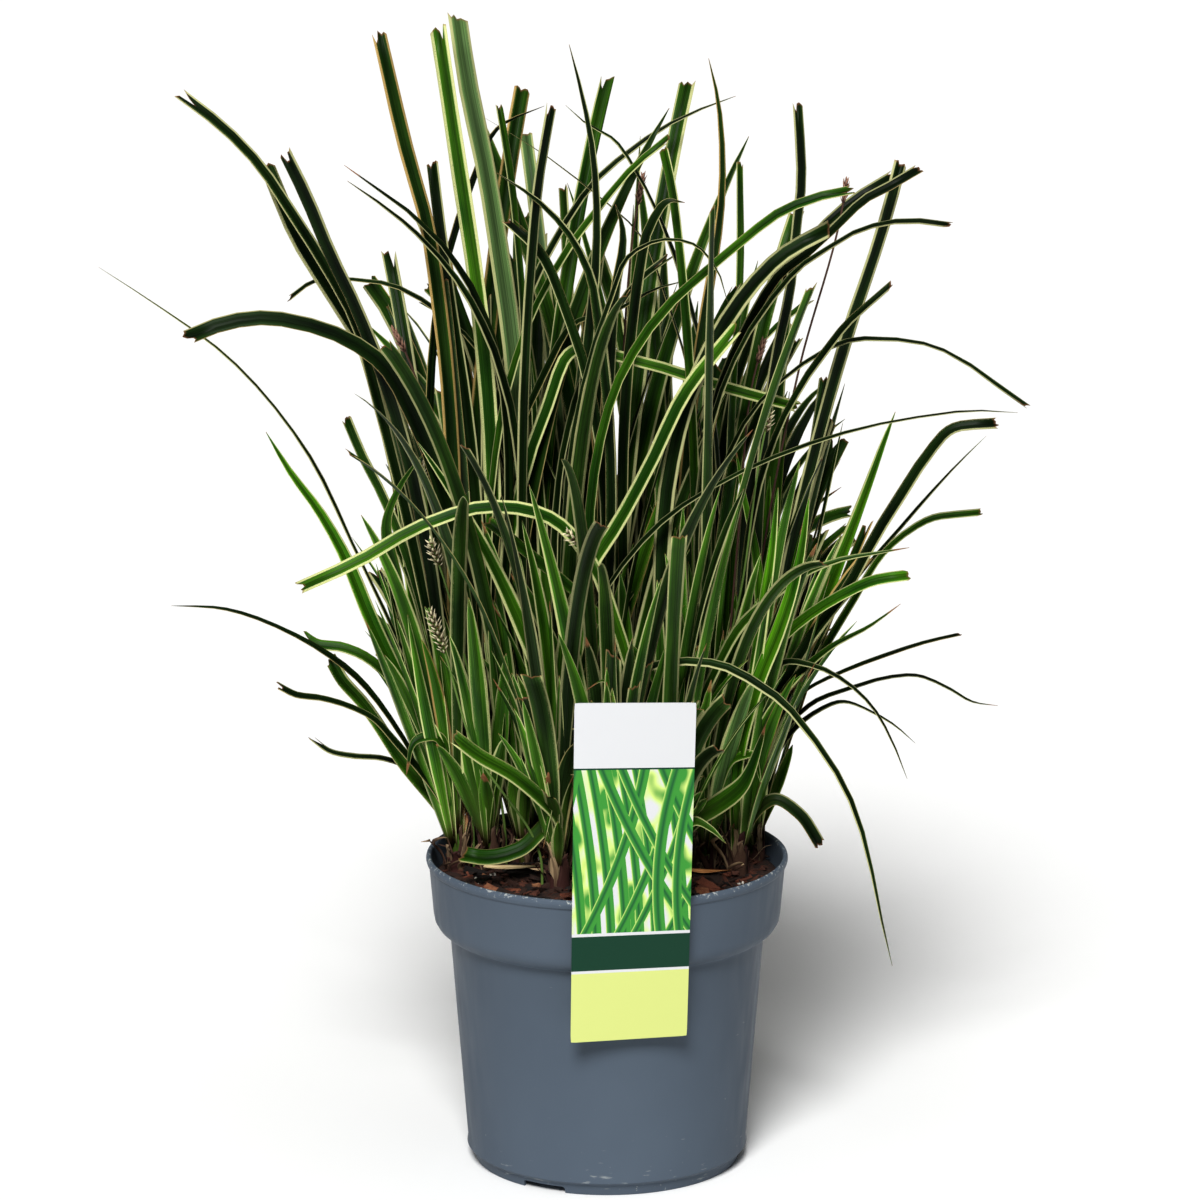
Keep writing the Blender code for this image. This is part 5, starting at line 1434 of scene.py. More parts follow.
@dataclass
class ShootPiece:
    """One leafy shoot: its fine leaves, and the old sheaths round its foot."""

    shoot: Shoot
    leaves: list[Leaf]
    swell: float = 1.1
    living: int = 7
    dead: int = 13
    wisps: int = 7

    def build(
        self, patterns: tuple[Blades, Blades, Blades], leaf_material: bpy.types.Material, sheath_material: bpy.types.Material
    ) -> None:
        """Builds the leaves and sheaths and settles them.

        Args:
            patterns: The leaf pattern, and with fewer faces the inner leaves' and the sheaths' ones.
            leaf_material: The finish of living leaves.
            sheath_material: The finish of old sheaths.
        """
        blades, small, slips = patterns
        name = self.shoot[0]
        draw = random.Random(f"dress {name}")
        pile = Pile(f"{name}_leaves")
        for leaf in self.leaves:
            leaf.fine.width *= self.swell
            pattern = small if leaf.inner else blades
            points, values = pattern.bend(leaf.fine, draw)
            pile.add(points, pattern.faces, **values)
        for number in range(self.living):
            points, values = self.sheath(slips, number, draw, (draw.uniform(26.0, 48.0), 1.35, -1.6))
            pile.add(points, slips.faces, **values)
        settle(pile.build(leaf_material), "sedge_leaf", name)
        wraps = Pile(f"{name}_sheaths")
        for number in range(self.dead):
            points, values = self.sheath(slips, number, draw, (draw.uniform(7.0, 30.0), 0.62, 0.1))
            wraps.add(points, slips.faces, **values)
        for _ in range(self.wisps if self.shoot[1] > -75.0 else 3 * self.wisps):
            points, values = slips.bend(self.wisp(draw), draw)
            wraps.add(points, slips.faces, **values)
        settle(wraps.build(sheath_material), "straw_leaf")

    def sheath(
        self, slips: Blades, number: int, draw: random.Random, build: tuple[float, float, float]
    ) -> tuple[np.ndarray, dict[str, np.ndarray]]:
        """One sheath, wrapped part of the way round the shoot's foot and drawn to a point.

        Args:
            slips: The leaf pattern with fewer faces.
            number: Its number, from the inside out.
            draw: The shoot's draw.
            build: How far it rises above the compost, how far round it reaches and how far it stands out.

        Returns:
            The points in millimetres and the attribute values.
        """
        _, x, y, radius, _, _ = self.shoot
        high, reach, out = build
        u, v, side = slips.points[:, 0], slips.points[:, 1], np.sign(slips.points[:, 2])
        heading = draw.uniform(0, math.tau)
        span = reach * draw.uniform(0.7, 1.25) * (1.0 - 0.75 * v**2.2)
        angle = heading + u * span + 0.16 * np.sin(9.0 * v + 4.0 * u + heading) * v
        size = radius * (0.84 - 0.24 * v) + out + 0.12 * number + 0.18 * side + draw.uniform(0.2, 3.4) * v**3
        level = SOIL_TOP - 4.0 + (high + 4.0) * v * (1.0 - 0.12 * np.abs(u))
        points = np.stack([x + size * np.cos(angle), y + size * np.sin(angle), level], axis=1)
        place = np.stack([u * 6.0, high * v, 3.0 * (1 - np.abs(u))], axis=1)
        tone = draw.random()
        kind = np.stack([np.full(len(u), tone), np.full(len(u), 0.35), np.zeros(len(u))], axis=1)
        end = np.stack([high * (1.0 - v), v, np.ones(len(u))], axis=1)
        return points, {"leaf_place": place, "leaf_kind": kind, "leaf_end": end}

    def wisp(self, draw: random.Random) -> Leaf:
        """A thin dry strand that curls away from the foot."""
        _, x, y, radius, _, _ = self.shoot
        heading = draw.uniform(0, math.tau)
        root = Vector((x + radius * math.cos(heading), y + radius * math.sin(heading), SOIL_TOP - 1.0))
        long = draw.uniform(9.0, 38.0)
        lean = draw.uniform(0.15, 0.95)
        points = [root]
        for step in range(FINE_STATIONS):
            share = step / FINE_STATIONS
            tilt = lean * (0.4 + 1.6 * share)
            turn = heading + 1.6 * math.sin(4.5 * share + 6.0 * lean)
            flow = Vector((math.sin(tilt) * math.cos(turn), math.sin(tilt) * math.sin(turn), math.cos(tilt)))
            points.append(points[-1] + flow * (long / FINE_STATIONS))
        upper = Vector((-math.cos(heading), -math.sin(heading), 0.6))
        return Leaf(points, [upper] * len(points), draw.uniform(0.9, 3.2), True, 0.0, 1.0, draw.uniform(0.5, 1.0))


@dataclass
class StalkPiece:
    """A flower stalk: its stem and the scales of its spike."""

    row: tuple[Any, ...]

    def course(self, shift: float, aside: float) -> tuple[Vector, list[Vector]]:
        """The stalk's foot and its dense course to the head's end."""
        _, depth, _, _, *marks = self.row
        depth += shift
        near = min(SHOOTS, key=lambda shoot: abs(shoot[1] - 0.72 * marks[-1][0]) + 0.5 * abs(shoot[2] - depth))
        foot = Vector((near[1] + aside * (near[3] + 2.4), near[2] + 2.0, SOIL_TOP))
        low = Vector(seen((foot.x, foot.y, SOIL_TOP + 8.0)))
        flat = [low] + [Vector(mark) for mark in reversed(marks)]
        course = smooth_course(flat, Vector((0.0, 1.0)))
        along = lengths_along(course)
        found = []
        for point, length in zip(course, along):
            found.append(from_seen(point.x, point.y, foot.y + (depth - foot.y) * length / along[-1]))
        return foot, found

    def fitted_course(self) -> list[Vector]:
        """The course, moved back and aside as the stalk's solid is."""
        low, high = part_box(self.row[0])
        best: tuple[float, list[Vector]] = (1e9, [])
        for shift in DEPTH_TRIES:
            for aside in (1.0, -1.0):
                foot, course = self.course(shift, aside)
                depths = [point.y for point in course]
                reach = [point.x for point in course] + [foot.x]
                miss = abs(min(depths) - low.y / MM) + abs(max(depths) - high.y / MM)
                miss += abs(min(reach) - low.x / MM) + abs(max(reach) - high.x / MM)
                if miss < best[0]:
                    best = (miss, [Vector((foot.x, foot.y, SOIL_TOP - 3.0))] + course)
        return best[1]

    def build(self, rod: Mesh, husk: Mesh, material: bpy.types.Material) -> None:
        """Builds the stem and the spike and settles them as one piece.

        Args:
            rod: The stem's pattern, up Z from 0 to 1.
            husk: One scale's pattern, up Z from 0 to 1.
            material: The spike's finish.
        """
        name, _, head_long, head_wide, *_ = self.row
        draw = random.Random(f"spike {name}")
        course = self.fitted_course()
        along = lengths_along(course)
        pile = Pile(f"{name}_piece")
        dense = spaced(course, 40)
        points = thread(rod[0], dense, lambda v: 0.75 - 0.25 * v)
        tones = np.stack([np.full(len(points), 0.5), np.zeros(len(points)), np.ones(len(points))], axis=1)
        pile.add(points, rod[1], scale_kind=tones)
        neck = along[-1] - head_long
        turn = draw.uniform(0, math.tau)
        loose = "brown" not in name
        count = int(head_long * (1.9 if loose else 2.2))
        for number in range(count):
            share = (number + 0.5) / count
            goal = neck + head_long * (share * 0.94)
            at = max(index for index, length in enumerate(along) if length <= goal)
            part = (goal - along[at]) / max(along[min(at + 1, len(along) - 1)] - along[at], 1e-6)
            centre = course[at].lerp(course[min(at + 1, len(course) - 1)], part)
            ahead = (course[min(at + 2, len(course) - 1)] - course[max(at - 2, 0)]).normalized()
            turn += 2.399
            side = ahead.orthogonal().normalized()
            out = side * math.cos(turn) + ahead.cross(side) * math.sin(turn)
            body = math.sin(math.pi * (0.1 + 0.84 * share))
            flare = (1.15 if loose else 0.4) + draw.uniform(-0.15, 0.2) - (0.6 if loose else 0.25) * share
            tip = (ahead + out * flare).normalized()
            face = (out - tip * out.dot(tip)).normalized()
            frame_of = np.array([tuple(tip.cross(face)), tuple(face), tuple(tip)])
            long = (2.9 + 1.7 * body if loose else 3.0 + 1.8 * body) + draw.uniform(-0.4, 0.5)
            wide = (0.85 if loose else 0.9) * (0.6 + 0.4 * body)
            shape = husk[0] * np.array([wide, 0.55, long])
            root = centre + out * (0.25 + (0.1 if loose else 0.06) * head_wide * body) - ahead * (0.3 * long)
            tone = draw.random()
            kind = np.stack([np.full(len(shape), tone), husk[0][:, 2], np.zeros(len(shape))], axis=1)
            pile.add(shape @ frame_of + np.array(tuple(root)), husk[1], scale_kind=kind)
        slot = "dry_spikelets" if "brown" in name else "pale_spikelets"
        settle(pile.build(material), slot, name)


def thread(pattern: np.ndarray, course: Sequence[Vector], size: Callable[[float], float]) -> np.ndarray:
    """Bends a pattern that stands up Z from 0 to 1 along a course.

    Args:
        pattern: Its points, across X and Y in units of its radius.
        course: The points in millimetres that it follows.
        size: Its radius at a share of the length.

    Returns:
        The points in millimetres.
    """
    tangents = tangents_of(course)
    side = tangents[0].orthogonal().normalized()
    sides = []
    for tangent in tangents:
        side = (side - tangent * side.dot(tangent)).normalized()
        sides.append(side)
    found = []
    for x, y, z in pattern:
        at = min(max(z, 0.0), 1.0) * (len(course) - 1)
        low = min(int(at), len(course) - 2)
        centre = course[low].lerp(course[low + 1], at - low)
        radius = size(z)
        place = centre + (sides[low] * x + tangents[low].cross(sides[low]) * y) * radius
        found.append(tuple(place))
    return np.array(found)


@dataclass
class Patterns:
    """Small shapes that are modelled once: a stem, a spikelet scale, bark chips and a grit crumb."""

    def rod(self, rings: int = 40, sides: int = 8) -> Mesh:
        """A round stem drawn up ring by ring to height 1."""
        deselect()
        bpy.ops.mesh.primitive_circle_add(vertices=sides, radius=1.0, fill_type="NGON")
        bpy.ops.object.mode_set(mode="EDIT")
        bpy.ops.mesh.select_mode(type="EDGE")
        bpy.ops.mesh.select_all(action="SELECT")
        for _ in range(rings):
            bpy.ops.mesh.extrude_edges_move(TRANSFORM_OT_translate={"value": (0, 0, 1.0 / rings)})
        bpy.ops.mesh.edge_face_add()
        bpy.ops.mesh.select_all(action="SELECT")
        bpy.ops.mesh.normals_make_consistent(inside=False)
        bpy.ops.object.mode_set(mode="OBJECT")
        return take_mesh(bpy.context.object)

    def husk(self) -> Mesh:
        """A boat-shaped scale that narrows to a fine point at height 1, with its back towards Y."""
        deselect()
        bpy.ops.mesh.primitive_grid_add(x_subdivisions=4, y_subdivisions=5, size=2, rotation=(math.pi / 2, 0, 0))
        scale = bpy.context.object
        sit_at_origin(scale)
        bpy.ops.object.mode_set(mode="EDIT")
        bpy.ops.mesh.select_all(action="SELECT")
        bpy.ops.transform.resize(value=(0.5, 1, 0.5), center_override=(0, 0, -1))
        bpy.ops.transform.translate(value=(0, 0, 1))
        bpy.ops.object.mode_set(mode="OBJECT")
        for vertex in scale.data.vertices:
            x, _, z = vertex.co
            wide = math.sin(math.pi * (0.16 + 0.8 * z)) ** 0.7 * (1.0 - 0.5 * z * z)
            vertex.co.x = 2.0 * x * wide
            vertex.co.y = 0.9 * (1.0 - (2.0 * x) ** 2) * wide - 0.5 * (1 - z)
        wall = scale.modifiers.new("wall", "SOLIDIFY")
        wall.thickness = 0.09
        apply_modifiers(scale)
        return take_mesh(scale)

    def chip(self, seed: int) -> Mesh:
        """A split bark chip within -1 to 1, broken at its ends and uneven on its faces.

        Args:
            seed: The draw for its breaks.

        Returns:
            Its points and faces.
        """
        draw = random.Random(f"chip {seed}")
        deselect()
        bpy.ops.mesh.primitive_cube_add(size=2)
        chip = bpy.context.object
        bpy.ops.object.mode_set(mode="EDIT")
        bpy.ops.mesh.select_all(action="SELECT")
        bpy.ops.mesh.subdivide(number_cuts=2)
        bpy.ops.mesh.select_all(action="SELECT")
        for _ in range(3):
            angle = draw.uniform(0, math.tau)
            away = draw.uniform(0.75, 0.95)
            normal = (math.cos(angle), math.sin(angle), draw.uniform(-0.5, 0.5))
            bpy.ops.mesh.bisect(
                plane_co=tuple(away * value for value in normal), plane_no=normal, use_fill=True, clear_outer=True
            )
            bpy.ops.mesh.select_all(action="SELECT")
        bpy.ops.mesh.normals_make_consistent(inside=False)
        bpy.ops.object.mode_set(mode="OBJECT")
        for vertex in chip.data.vertices:
            vertex.co += Vector([draw.uniform(-0.11, 0.11) for _ in range(3)])
        return take_mesh(chip)


@dataclass
class Bed:
    """The compost in the pot, with its loose chips, fibres and grit."""

    chips: int = 620
    splinters: int = 260
    grit: int = 46
    rings: int = 30

    def build(self, patterns: Patterns, bed: bpy.types.Material, chip: bpy.types.Material, grit: bpy.types.Material) -> None:
        """Builds the bed and what lies on it.

        Args:
            patterns: Where the small shapes are modelled.
            bed: The compost's finish.
            chip: The chips' finish.
            grit: The grit's finish.
        """
        self.build_bed(bed)
        draw = random.Random("bed")
        shapes = [patterns.chip(seed) for seed in range(4)]
        loose = Pile("bark_chips")
        for number in range(self.chips):
            x, y = self.place(draw, 86.0)
            fine = number > self.chips * 0.45
            size = (draw.uniform(1.2, 3.0), draw.uniform(0.8, 2.0), draw.uniform(0.5, 1.2))
            if not fine:
                size = (draw.uniform(3.0, 8.5), draw.uniform(1.6, 3.6), draw.uniform(0.6, 1.5))
            self.lay(loose, shapes[number % 4], (x, y, self.level(x, y) + draw.uniform(-0.3, 0.9)), size, draw)
        for x, y, long, wide, turn in ((-44.0, -8.0, 7.5, 5.0, 0.3), (53.5, -16.0, 7.0, 4.5, -0.5)):
            self.lay(loose, shapes[1], (x, y, CHIP_TOP - 2.4), (long, wide, 2.1), draw, turn)
        for _ in range(self.splinters):
            x, y = self.place(draw, 84.0)
            size = (draw.uniform(4.0, 9.0), draw.uniform(0.25, 0.6), draw.uniform(0.2, 0.5))
            self.lay(loose, shapes[2], (x, y, self.level(x, y) + draw.uniform(0.4, 1.4)), size, draw)
        settle(loose.build(chip, smooth=False), "soil")
        crumbs = Pile("lime_grit")
        for _ in range(self.grit):
            x, y = self.place(draw, 84.0)
            size = (draw.uniform(0.5, 1.1), draw.uniform(0.4, 0.9), draw.uniform(0.4, 0.8))
            self.lay(crumbs, shapes[3], (x, y, self.level(x, y) + 1.0), size, draw)
        settle(crumbs.build(grit, smooth=False), "soil")

    def build_bed(self, material: bpy.types.Material) -> None:
        """Draws up the bed's body, breaks its top into crumbs and settles it."""
        profile = [(3.0, 2.3), (28.2, 2.3), (30.3, 6.0), (68.2, 6.0), (71.3, 9.3), (79.9, 121.8)]
        rim = 90.9 - 6.0 * 2.4 / 33.5
        profile += [(80.3, 125.4), (84.0, 127.0), (86.9, 130.0), (88.2, 134.6), (rim - 0.5, 150.0), (rim - 1.0, 151.0)]
        start = rim - 1.0
        for ring in range(1, self.rings):
            profile.append((start - (start - 1.2) * ring / (self.rings - 1), 152.0))
        body = climb("compost_bed", profile, 120)
        for vertex in body.data.vertices:
            x, y, z = (value / MM for value in vertex.co)
            if z > 151.5:
                vertex.co.z = self.level(x, y) * MM
        settle(finished(body, material), "soil", "soil")

    def level(self, x: float, y: float) -> float:
        """The bed's height at a place: the solid's slow waves, broken by crumbs."""
        wave = math.sin(0.11 * x + 0.9) * math.cos(0.13 * y) + 0.5 * math.sin(0.31 * x + 0.27 * y)
        place = Vector((x * 0.35, y * 0.35, 3.0))
        crumb = noise.noise(place) + 0.6 * noise.noise(place * 2.7)
        return SOIL_TOP + 0.9 * wave + 1.5 * crumb

    def place(self, draw: random.Random, most: float) -> tuple[float, float]:
        """Draws a place on the bed, evenly spread."""
        away = most * math.sqrt(draw.random())
        angle = draw.uniform(0, math.tau)
        return away * math.cos(angle), away * math.sin(angle)

    def lay(
        self,
        pile: Pile,
        shape: Mesh,
        place: tuple[float, float, float],
        size: tuple[float, float, float],
        draw: random.Random,
        turn: Optional[float] = None,
    ) -> None:
        """Lays one copy on the bed, turned and tipped by the draw.

        Args:
            pile: Where it is gathered.
            shape: The pattern.
            place: Its middle in millimetres.
            size: Half its length, width and thickness.
            draw: The bed's draw.
            turn: Its turn where it is given, and then it lies flat.
        """
        tips = (draw.gauss(0, 0.28), draw.gauss(0, 0.22)) if turn is None else (0.0, 0.0)
        heading = draw.uniform(0, math.tau) if turn is None else turn
        matrix = np.array(Euler((tips[0], tips[1], heading)).to_matrix())
        points = (shape[0] * np.array(size)) @ matrix.T + np.array(place)
        tone = np.full(len(points), min(1.0, max(0.0, draw.gauss(0.52, 0.2))))
        pile.add(points, shape[1], chip_kind=np.stack([tone, tone, tone], axis=1))


@dataclass
class PotPiece:
    """The pot: a thin moulded wall with a deep collar, a stepped rim, foot notches and drain holes."""

    sides: int = 160
    notch_turns: tuple[float, ...] = (-28.0, 92.0, 212.0)
    drains: int = 6
    profile: tuple[tuple[float, float], ...] = (
        (20.0, 0.0),
        (30.0, 0.0),
        (31.0, 3.7),
        (67.2, 3.7),
        (67.5, 0.0),
        (69.2, 0.0),
        (70.5, 5.5),
        (73.5, 7.5),
        (73.0, 11.0),
        (81.7, 121.5),
        (82.6, 123.2),
        (85.4, 124.4),
        (88.0, 126.6),
        (89.7, 129.6),
        (90.3, 133.0),
        (92.5, 158.6),
        (93.5, 159.3),
        (94.1, 161.6),
        (93.6, 163.4),
        (92.5, 164.0),
        (91.3, 162.8),
        (90.9, 158.0),
        (88.9, 134.0),
        (87.6, 129.4),
        (84.6, 126.4),
        (80.8, 124.9),
        (80.4, 122.0),
        (71.6, 9.0),
        (68.5, 5.7),
        (30.6, 5.7),
        (28.5, 2.0),
        (20.0, 2.0),
    )

    def build(self, material: bpy.types.Material) -> None:
        """Draws up the wall, softens its edges, cuts the notches and drains, and settles it."""
        body = climb("pot_body", self.profile, self.sides)
        edges = body.modifiers.new("edges", "BEVEL")
        edges.width = 0.5 * MM
        edges.segments = 3
        edges.limit_method = "ANGLE"
        edges.angle_limit = math.radians(24)
        apply_modifiers(body)
        cutters = []
        for turn in self.notch_turns:
            angle = math.radians(turn - 90.0)
            place = (72.0 * MM * math.cos(angle), 72.0 * MM * math.sin(angle), 0.8 * MM)
            cutters.append(self.notch(place, angle))
        for index in range(self.drains):
            angle = math.tau * (index + 0.25) / self.drains
            cutters.append(self.drain((49.0 * MM * math.cos(angle), 49.0 * MM * math.sin(angle), 5.0 * MM)))
        for cutter in cutters:
            cut = body.modifiers.new("cut", "BOOLEAN")
            cut.object = cutter
            cut.operation = "DIFFERENCE"
            cut.solver = "EXACT"
            apply_modifiers(body)
            bpy.data.objects.remove(cutter)
        settle(finished(body, material, 32.0), "pot", "pot")

    def notch(self, place: tuple[float, float, float], turn: float) -> bpy.types.Object:
        """A cutter for one foot notch, with rounded upper corners."""
        deselect()
        bpy.ops.mesh.primitive_cube_add(size=1, location=place, rotation=(0, 0, turn))
        cutter = bpy.context.object
        cutter.scale = (14.0 * MM, 24.0 * MM, 5.7 * MM)
        sit_at_origin(cutter)
        edges = cutter.modifiers.new("round", "BEVEL")
        edges.width = 1.2 * MM
        edges.segments = 3
        apply_modifiers(cutter)
        return cutter

    def drain(self, place: tuple[float, float, float]) -> bpy.types.Object:
        """A cutter for one drain hole, slightly wider below."""
        deselect()
        bpy.ops.mesh.primitive_cylinder_add(vertices=32, radius=4.5 * MM, depth=8.0 * MM, location=place)
        cutter = bpy.context.object
        sit_at_origin(cutter)
        bpy.ops.object.mode_set(mode="EDIT")
        bpy.ops.mesh.select_all(action="DESELECT")
        bpy.ops.object.mode_set(mode="OBJECT")
        for face in cutter.data.polygons:
            face.select = face.normal.z < -0.9
        bpy.ops.object.mode_set(mode="EDIT")
        bpy.ops.transform.resize(value=(1.15, 1.15, 1), center_override=place)
        bpy.ops.object.mode_set(mode="OBJECT")
        return cutter


@dataclass
class LabelPiece:
    """The plant label: a printed plastic sheet that leans on the rim, held by a tongue in the compost."""

    turn: float = 7.3
    wide: float = 60.0
    low: float = 89.5
    high: float = 271.0
    thick: float = 0.6
    rest: float = 96.6
    rest_high: float = 161.5
    leans: tuple[float, float] = (5.7, 9.2)
    tongue_wide: float = 22.0
    tongue_thick: float = 0.8

    def front(self, across: float, level: float) -> Vector:
        """A point on the sheet's front.

        Args:
            across: From -1, left, to 1, right.
            level: The height in millimetres.

        Returns:
            The point in millimetres.
        """
        lean = 0.5 * (self.leans[0] + self.leans[1]) + 0.5 * across * (self.leans[1] - self.leans[0])
        away = self.rest + (level - self.rest_high) * math.tan(math.radians(lean))
        angle = math.radians(self.turn)
        wide = 0.5 * self.wide * across
        return Vector(
            (
                away * math.sin(angle) + wide * math.cos(angle),
                -away * math.cos(angle) + wide * math.sin(angle),
                level,
            )
        )

    def build(self, printed: bpy.types.Material, plain: bpy.types.Material) -> None:
        """Builds the sheet with its print map, then the tongue, and settles them."""
        sheet = self.sheet()
        settle(finished(sheet, printed, 40.0), "label", "label")
        tongue = self.tongue()
        settle(finished(tongue, plain, 40.0), "label")

    def sheet(self) -> bpy.types.Object:
        """The sheet: a grid with rounded corners, given its thickness and its place."""
        deselect()
        bpy.ops.mesh.primitive_grid_add(x_subdivisions=24, y_subdivisions=48, size=2)
        sheet = bpy.context.object
        sheet.name = sheet.data.name = "label_sheet"
        maps = sheet.data.uv_layers
        maps[0].name = "print"
        for loop in sheet.data.loops:
            x, y, _ = sheet.data.vertices[loop.vertex_index].co
            maps[0].data[loop.index].uv = (0.5 + 0.5 * x, 0.5 + 0.5 * y)
        middle = 0.5 * (self.low + self.high)
        half_high = 0.5 * (self.high - self.low)
        radius = 0.7
        for vertex in sheet.data.vertices:
            x, y, _ = vertex.co
            wide, high = x * 0.5 * self.wide, y * half_high
            past_x = abs(wide) - (0.5 * self.wide - radius)
            past_y = abs(high) - (half_high - radius)
            if past_x > 0 and past_y > 0:
                over = math.hypot(past_x, past_y) / radius
                if over > 1:
                    wide -= math.copysign(past_x * (1 - 1 / over), wide)
                    high -= math.copysign(past_y * (1 - 1 / over), high)
            point = self.front(wide / (0.5 * self.wide), middle + high)
            vertex.co = point * MM
        wall = sheet.modifiers.new("thickness", "SOLIDIFY")
        wall.thickness = self.thick * MM
        wall.offset = -1.0
        apply_modifiers(sheet)
        return sheet

    def tongue(self) -> bpy.types.Object:
        """The tongue: a strip over the rim and down into the compost."""
        rest = self.rest + (174.0 - self.rest_high) * 0.13
        course = [(rest - 1.1, 178.0), (rest - 1.6, 171.0), (92.5, 166.4), (87.6, 165.0), (84.6, 158.0), (83.4, 130.0)]
        path = smooth_course([Vector(point) for point in course], Vector((-0.1, -1.0)))
        angle = math.radians(self.turn)
        deselect()
        bpy.ops.mesh.primitive_grid_add(x_subdivisions=6, y_subdivisions=60, size=2)
        strip = bpy.context.object
        strip.name = strip.data.name = "label_tongue"
        for vertex in strip.data.vertices:
            x, y, _ = vertex.co
            at = (0.5 + 0.5 * y) * (len(path) - 1)
            low = min(int(at), len(path) - 2)
            away, high = path[low].lerp(path[low + 1], at - low)
            wide = 0.5 * self.tongue_wide * x
            vertex.co = (
                MM * (away * math.sin(angle) + wide * math.cos(angle)),
                MM * (-away * math.cos(angle) + wide * math.sin(angle)),
                MM * high,
            )
        wall = strip.modifiers.new("thickness", "SOLIDIFY")
        wall.thickness = self.tongue_thick * MM
        wall.offset = 0.0
        apply_modifiers(strip)
        return strip


def finished(piece: bpy.types.Object, material: bpy.types.Material, angle: float = 180.0) -> bpy.types.Object:
    """Gives a piece its finish and its smooth shading.

    Args:
        piece: The modelled piece.
        material: Its finish.
        angle: Edges sharper than this, in degrees, stay sharp.

    Returns:
        The same piece.
    """
    piece.data.materials.clear()
    piece.data.materials.append(material)
    deselect()
    piece.select_set(True)
    bpy.context.view_layer.objects.active = piece
    bpy.ops.object.shade_smooth_by_angle(angle=math.radians(angle))
    return piece


@dataclass
class DryLeaf:
    """A fallen leaf that lies curled on a bark chip."""

    node: str
    middle: tuple[float, float]
    reach: float
    turn: float
    wide: float
    slot: str

    def build(self, blades: Blades, material: bpy.types.Material) -> None:
        """Builds the leaf over its solid and settles it.

        Args:
            blades: The leaf pattern.
            material: Its finish.
        """
        rest = CHIP_TOP + GAP + 0.95
        ahead = Vector((math.cos(self.turn), math.sin(self.turn), 0.0))
        side = Vector((-ahead.y, ahead.x, 0.0))
        points, uppers = [], []
        for step in range(FINE_STATIONS + 1):
            share = 2.0 * step / FINE_STATIONS - 1.0
            sway = 0.7 * math.sin(2.4 * share)
            lift = 0.1 + 0.9 * share * share
            points.append(Vector((*self.middle, rest)) + ahead * (self.reach * share) + side * sway + Vector((0, 0, lift)))
            uppers.append(Vector((0, 0, 1)) + side * (0.5 * share))
        leaf = Leaf(points, uppers, self.wide, True, 0.0, 0.6, 0.8)
        pile = Pile(f"{self.node}_piece")
        draw = random.Random(self.node)
        shape, values = blades.bend(leaf, draw)
        pile.add(shape, blades.faces, **values)
        settle(pile.build(material), self.slot, self.node)


@dataclass
class Studio:
    """The pale floor, the soft lights and the camera."""

    eye: tuple[float, float, float] = (0.0, -2.6, 0.8964777)
    tilt: float = 0.2262319
    focal_px: float = 5190.837
    middle_px: float = 606.997
    image_px: float = 1200.0
    surround: float = 0.08
    gamma: float = 0.88
    lights: tuple[tuple[str, tuple[float, float, float], float, float], ...] = (
        ("front", (-0.16, -1.0, 1.0), 4.1, 22.0),
        ("overhead", (0.1, -0.1, 1.0), 0.6, 60.0),
    )

    def build(self) -> None:
        """Sets up the floor, the world, the lights and the camera."""
        self.floor()
        bpy.context.scene.view_settings.view_transform = "Standard"
        bpy.context.scene.view_settings.gamma = self.gamma
        world = bpy.data.worlds.new("pale studio")
        bpy.context.scene.world = world
        world.use_nodes = True
        back = world.node_tree.nodes["Background"]
        back.inputs["Color"].default_value = linear("FFFFFF")
        back.inputs["Strength"].default_value = self.surround
        for name, place, power, spread in self.lights:
            self.soft_light(name, Vector(place), power, math.radians(spread))
        camera = bpy.data.cameras.new("camera")
        camera.sensor_width = 36.0
        camera.lens = self.focal_px / self.image_px * 36.0
        camera.shift_x = -(self.middle_px - 0.5 * self.image_px) / self.image_px
        holder = bpy.data.objects.new("camera", camera)
        holder.location = self.eye
        holder.rotation_euler = (math.pi / 2 - self.tilt, 0.0, 0.0)
        bpy.context.scene.collection.objects.link(holder)
        bpy.context.scene.camera = holder

    def floor(self) -> None:
        """Lays a wide pale floor."""
        deselect()
        bpy.ops.mesh.primitive_plane_add(size=60, location=(0, 0, 0))
        floor = bpy.context.object
        floor.name = "floor"
        sit_at_origin(floor)
        made, tree, shader = new_material("matt white paint")
        place = add_node(tree, "TexCoord").outputs["Object"]
        cloud = add_node(tree, "TexNoise", {"Scale": 1.5, "Detail": 1.0}, {"Vector": place}).outputs["Fac"]
        colour = add_node(
            tree, "Mix", {"data_type": "RGBA", 6: linear("F3F3F2"), 7: linear("F6F6F5")}, {0: cloud}
        ).outputs[2]
        tree.links.new(colour, shader.inputs["Base Color"])
        shader.inputs["Roughness"].default_value = 0.85
        floor.data.materials.append(made)

    def soft_light(self, name: str, place: Vector, power: float, spread: float) -> None:
        """Hangs one wide soft light far off.

        Args:
            name: What it does.
            place: The way to it from the pot.
            power: Its strength.
            spread: How wide it looks, in radians.
        """
        light = bpy.data.lights.new(name, "SUN")
        light.energy = power
        light.angle = spread
        holder = bpy.data.objects.new(name, light)
        holder.location = place
        holder.rotation_euler = (-place).to_track_quat("-Z", "Y").to_euler()
        bpy.context.scene.collection.objects.link(holder)


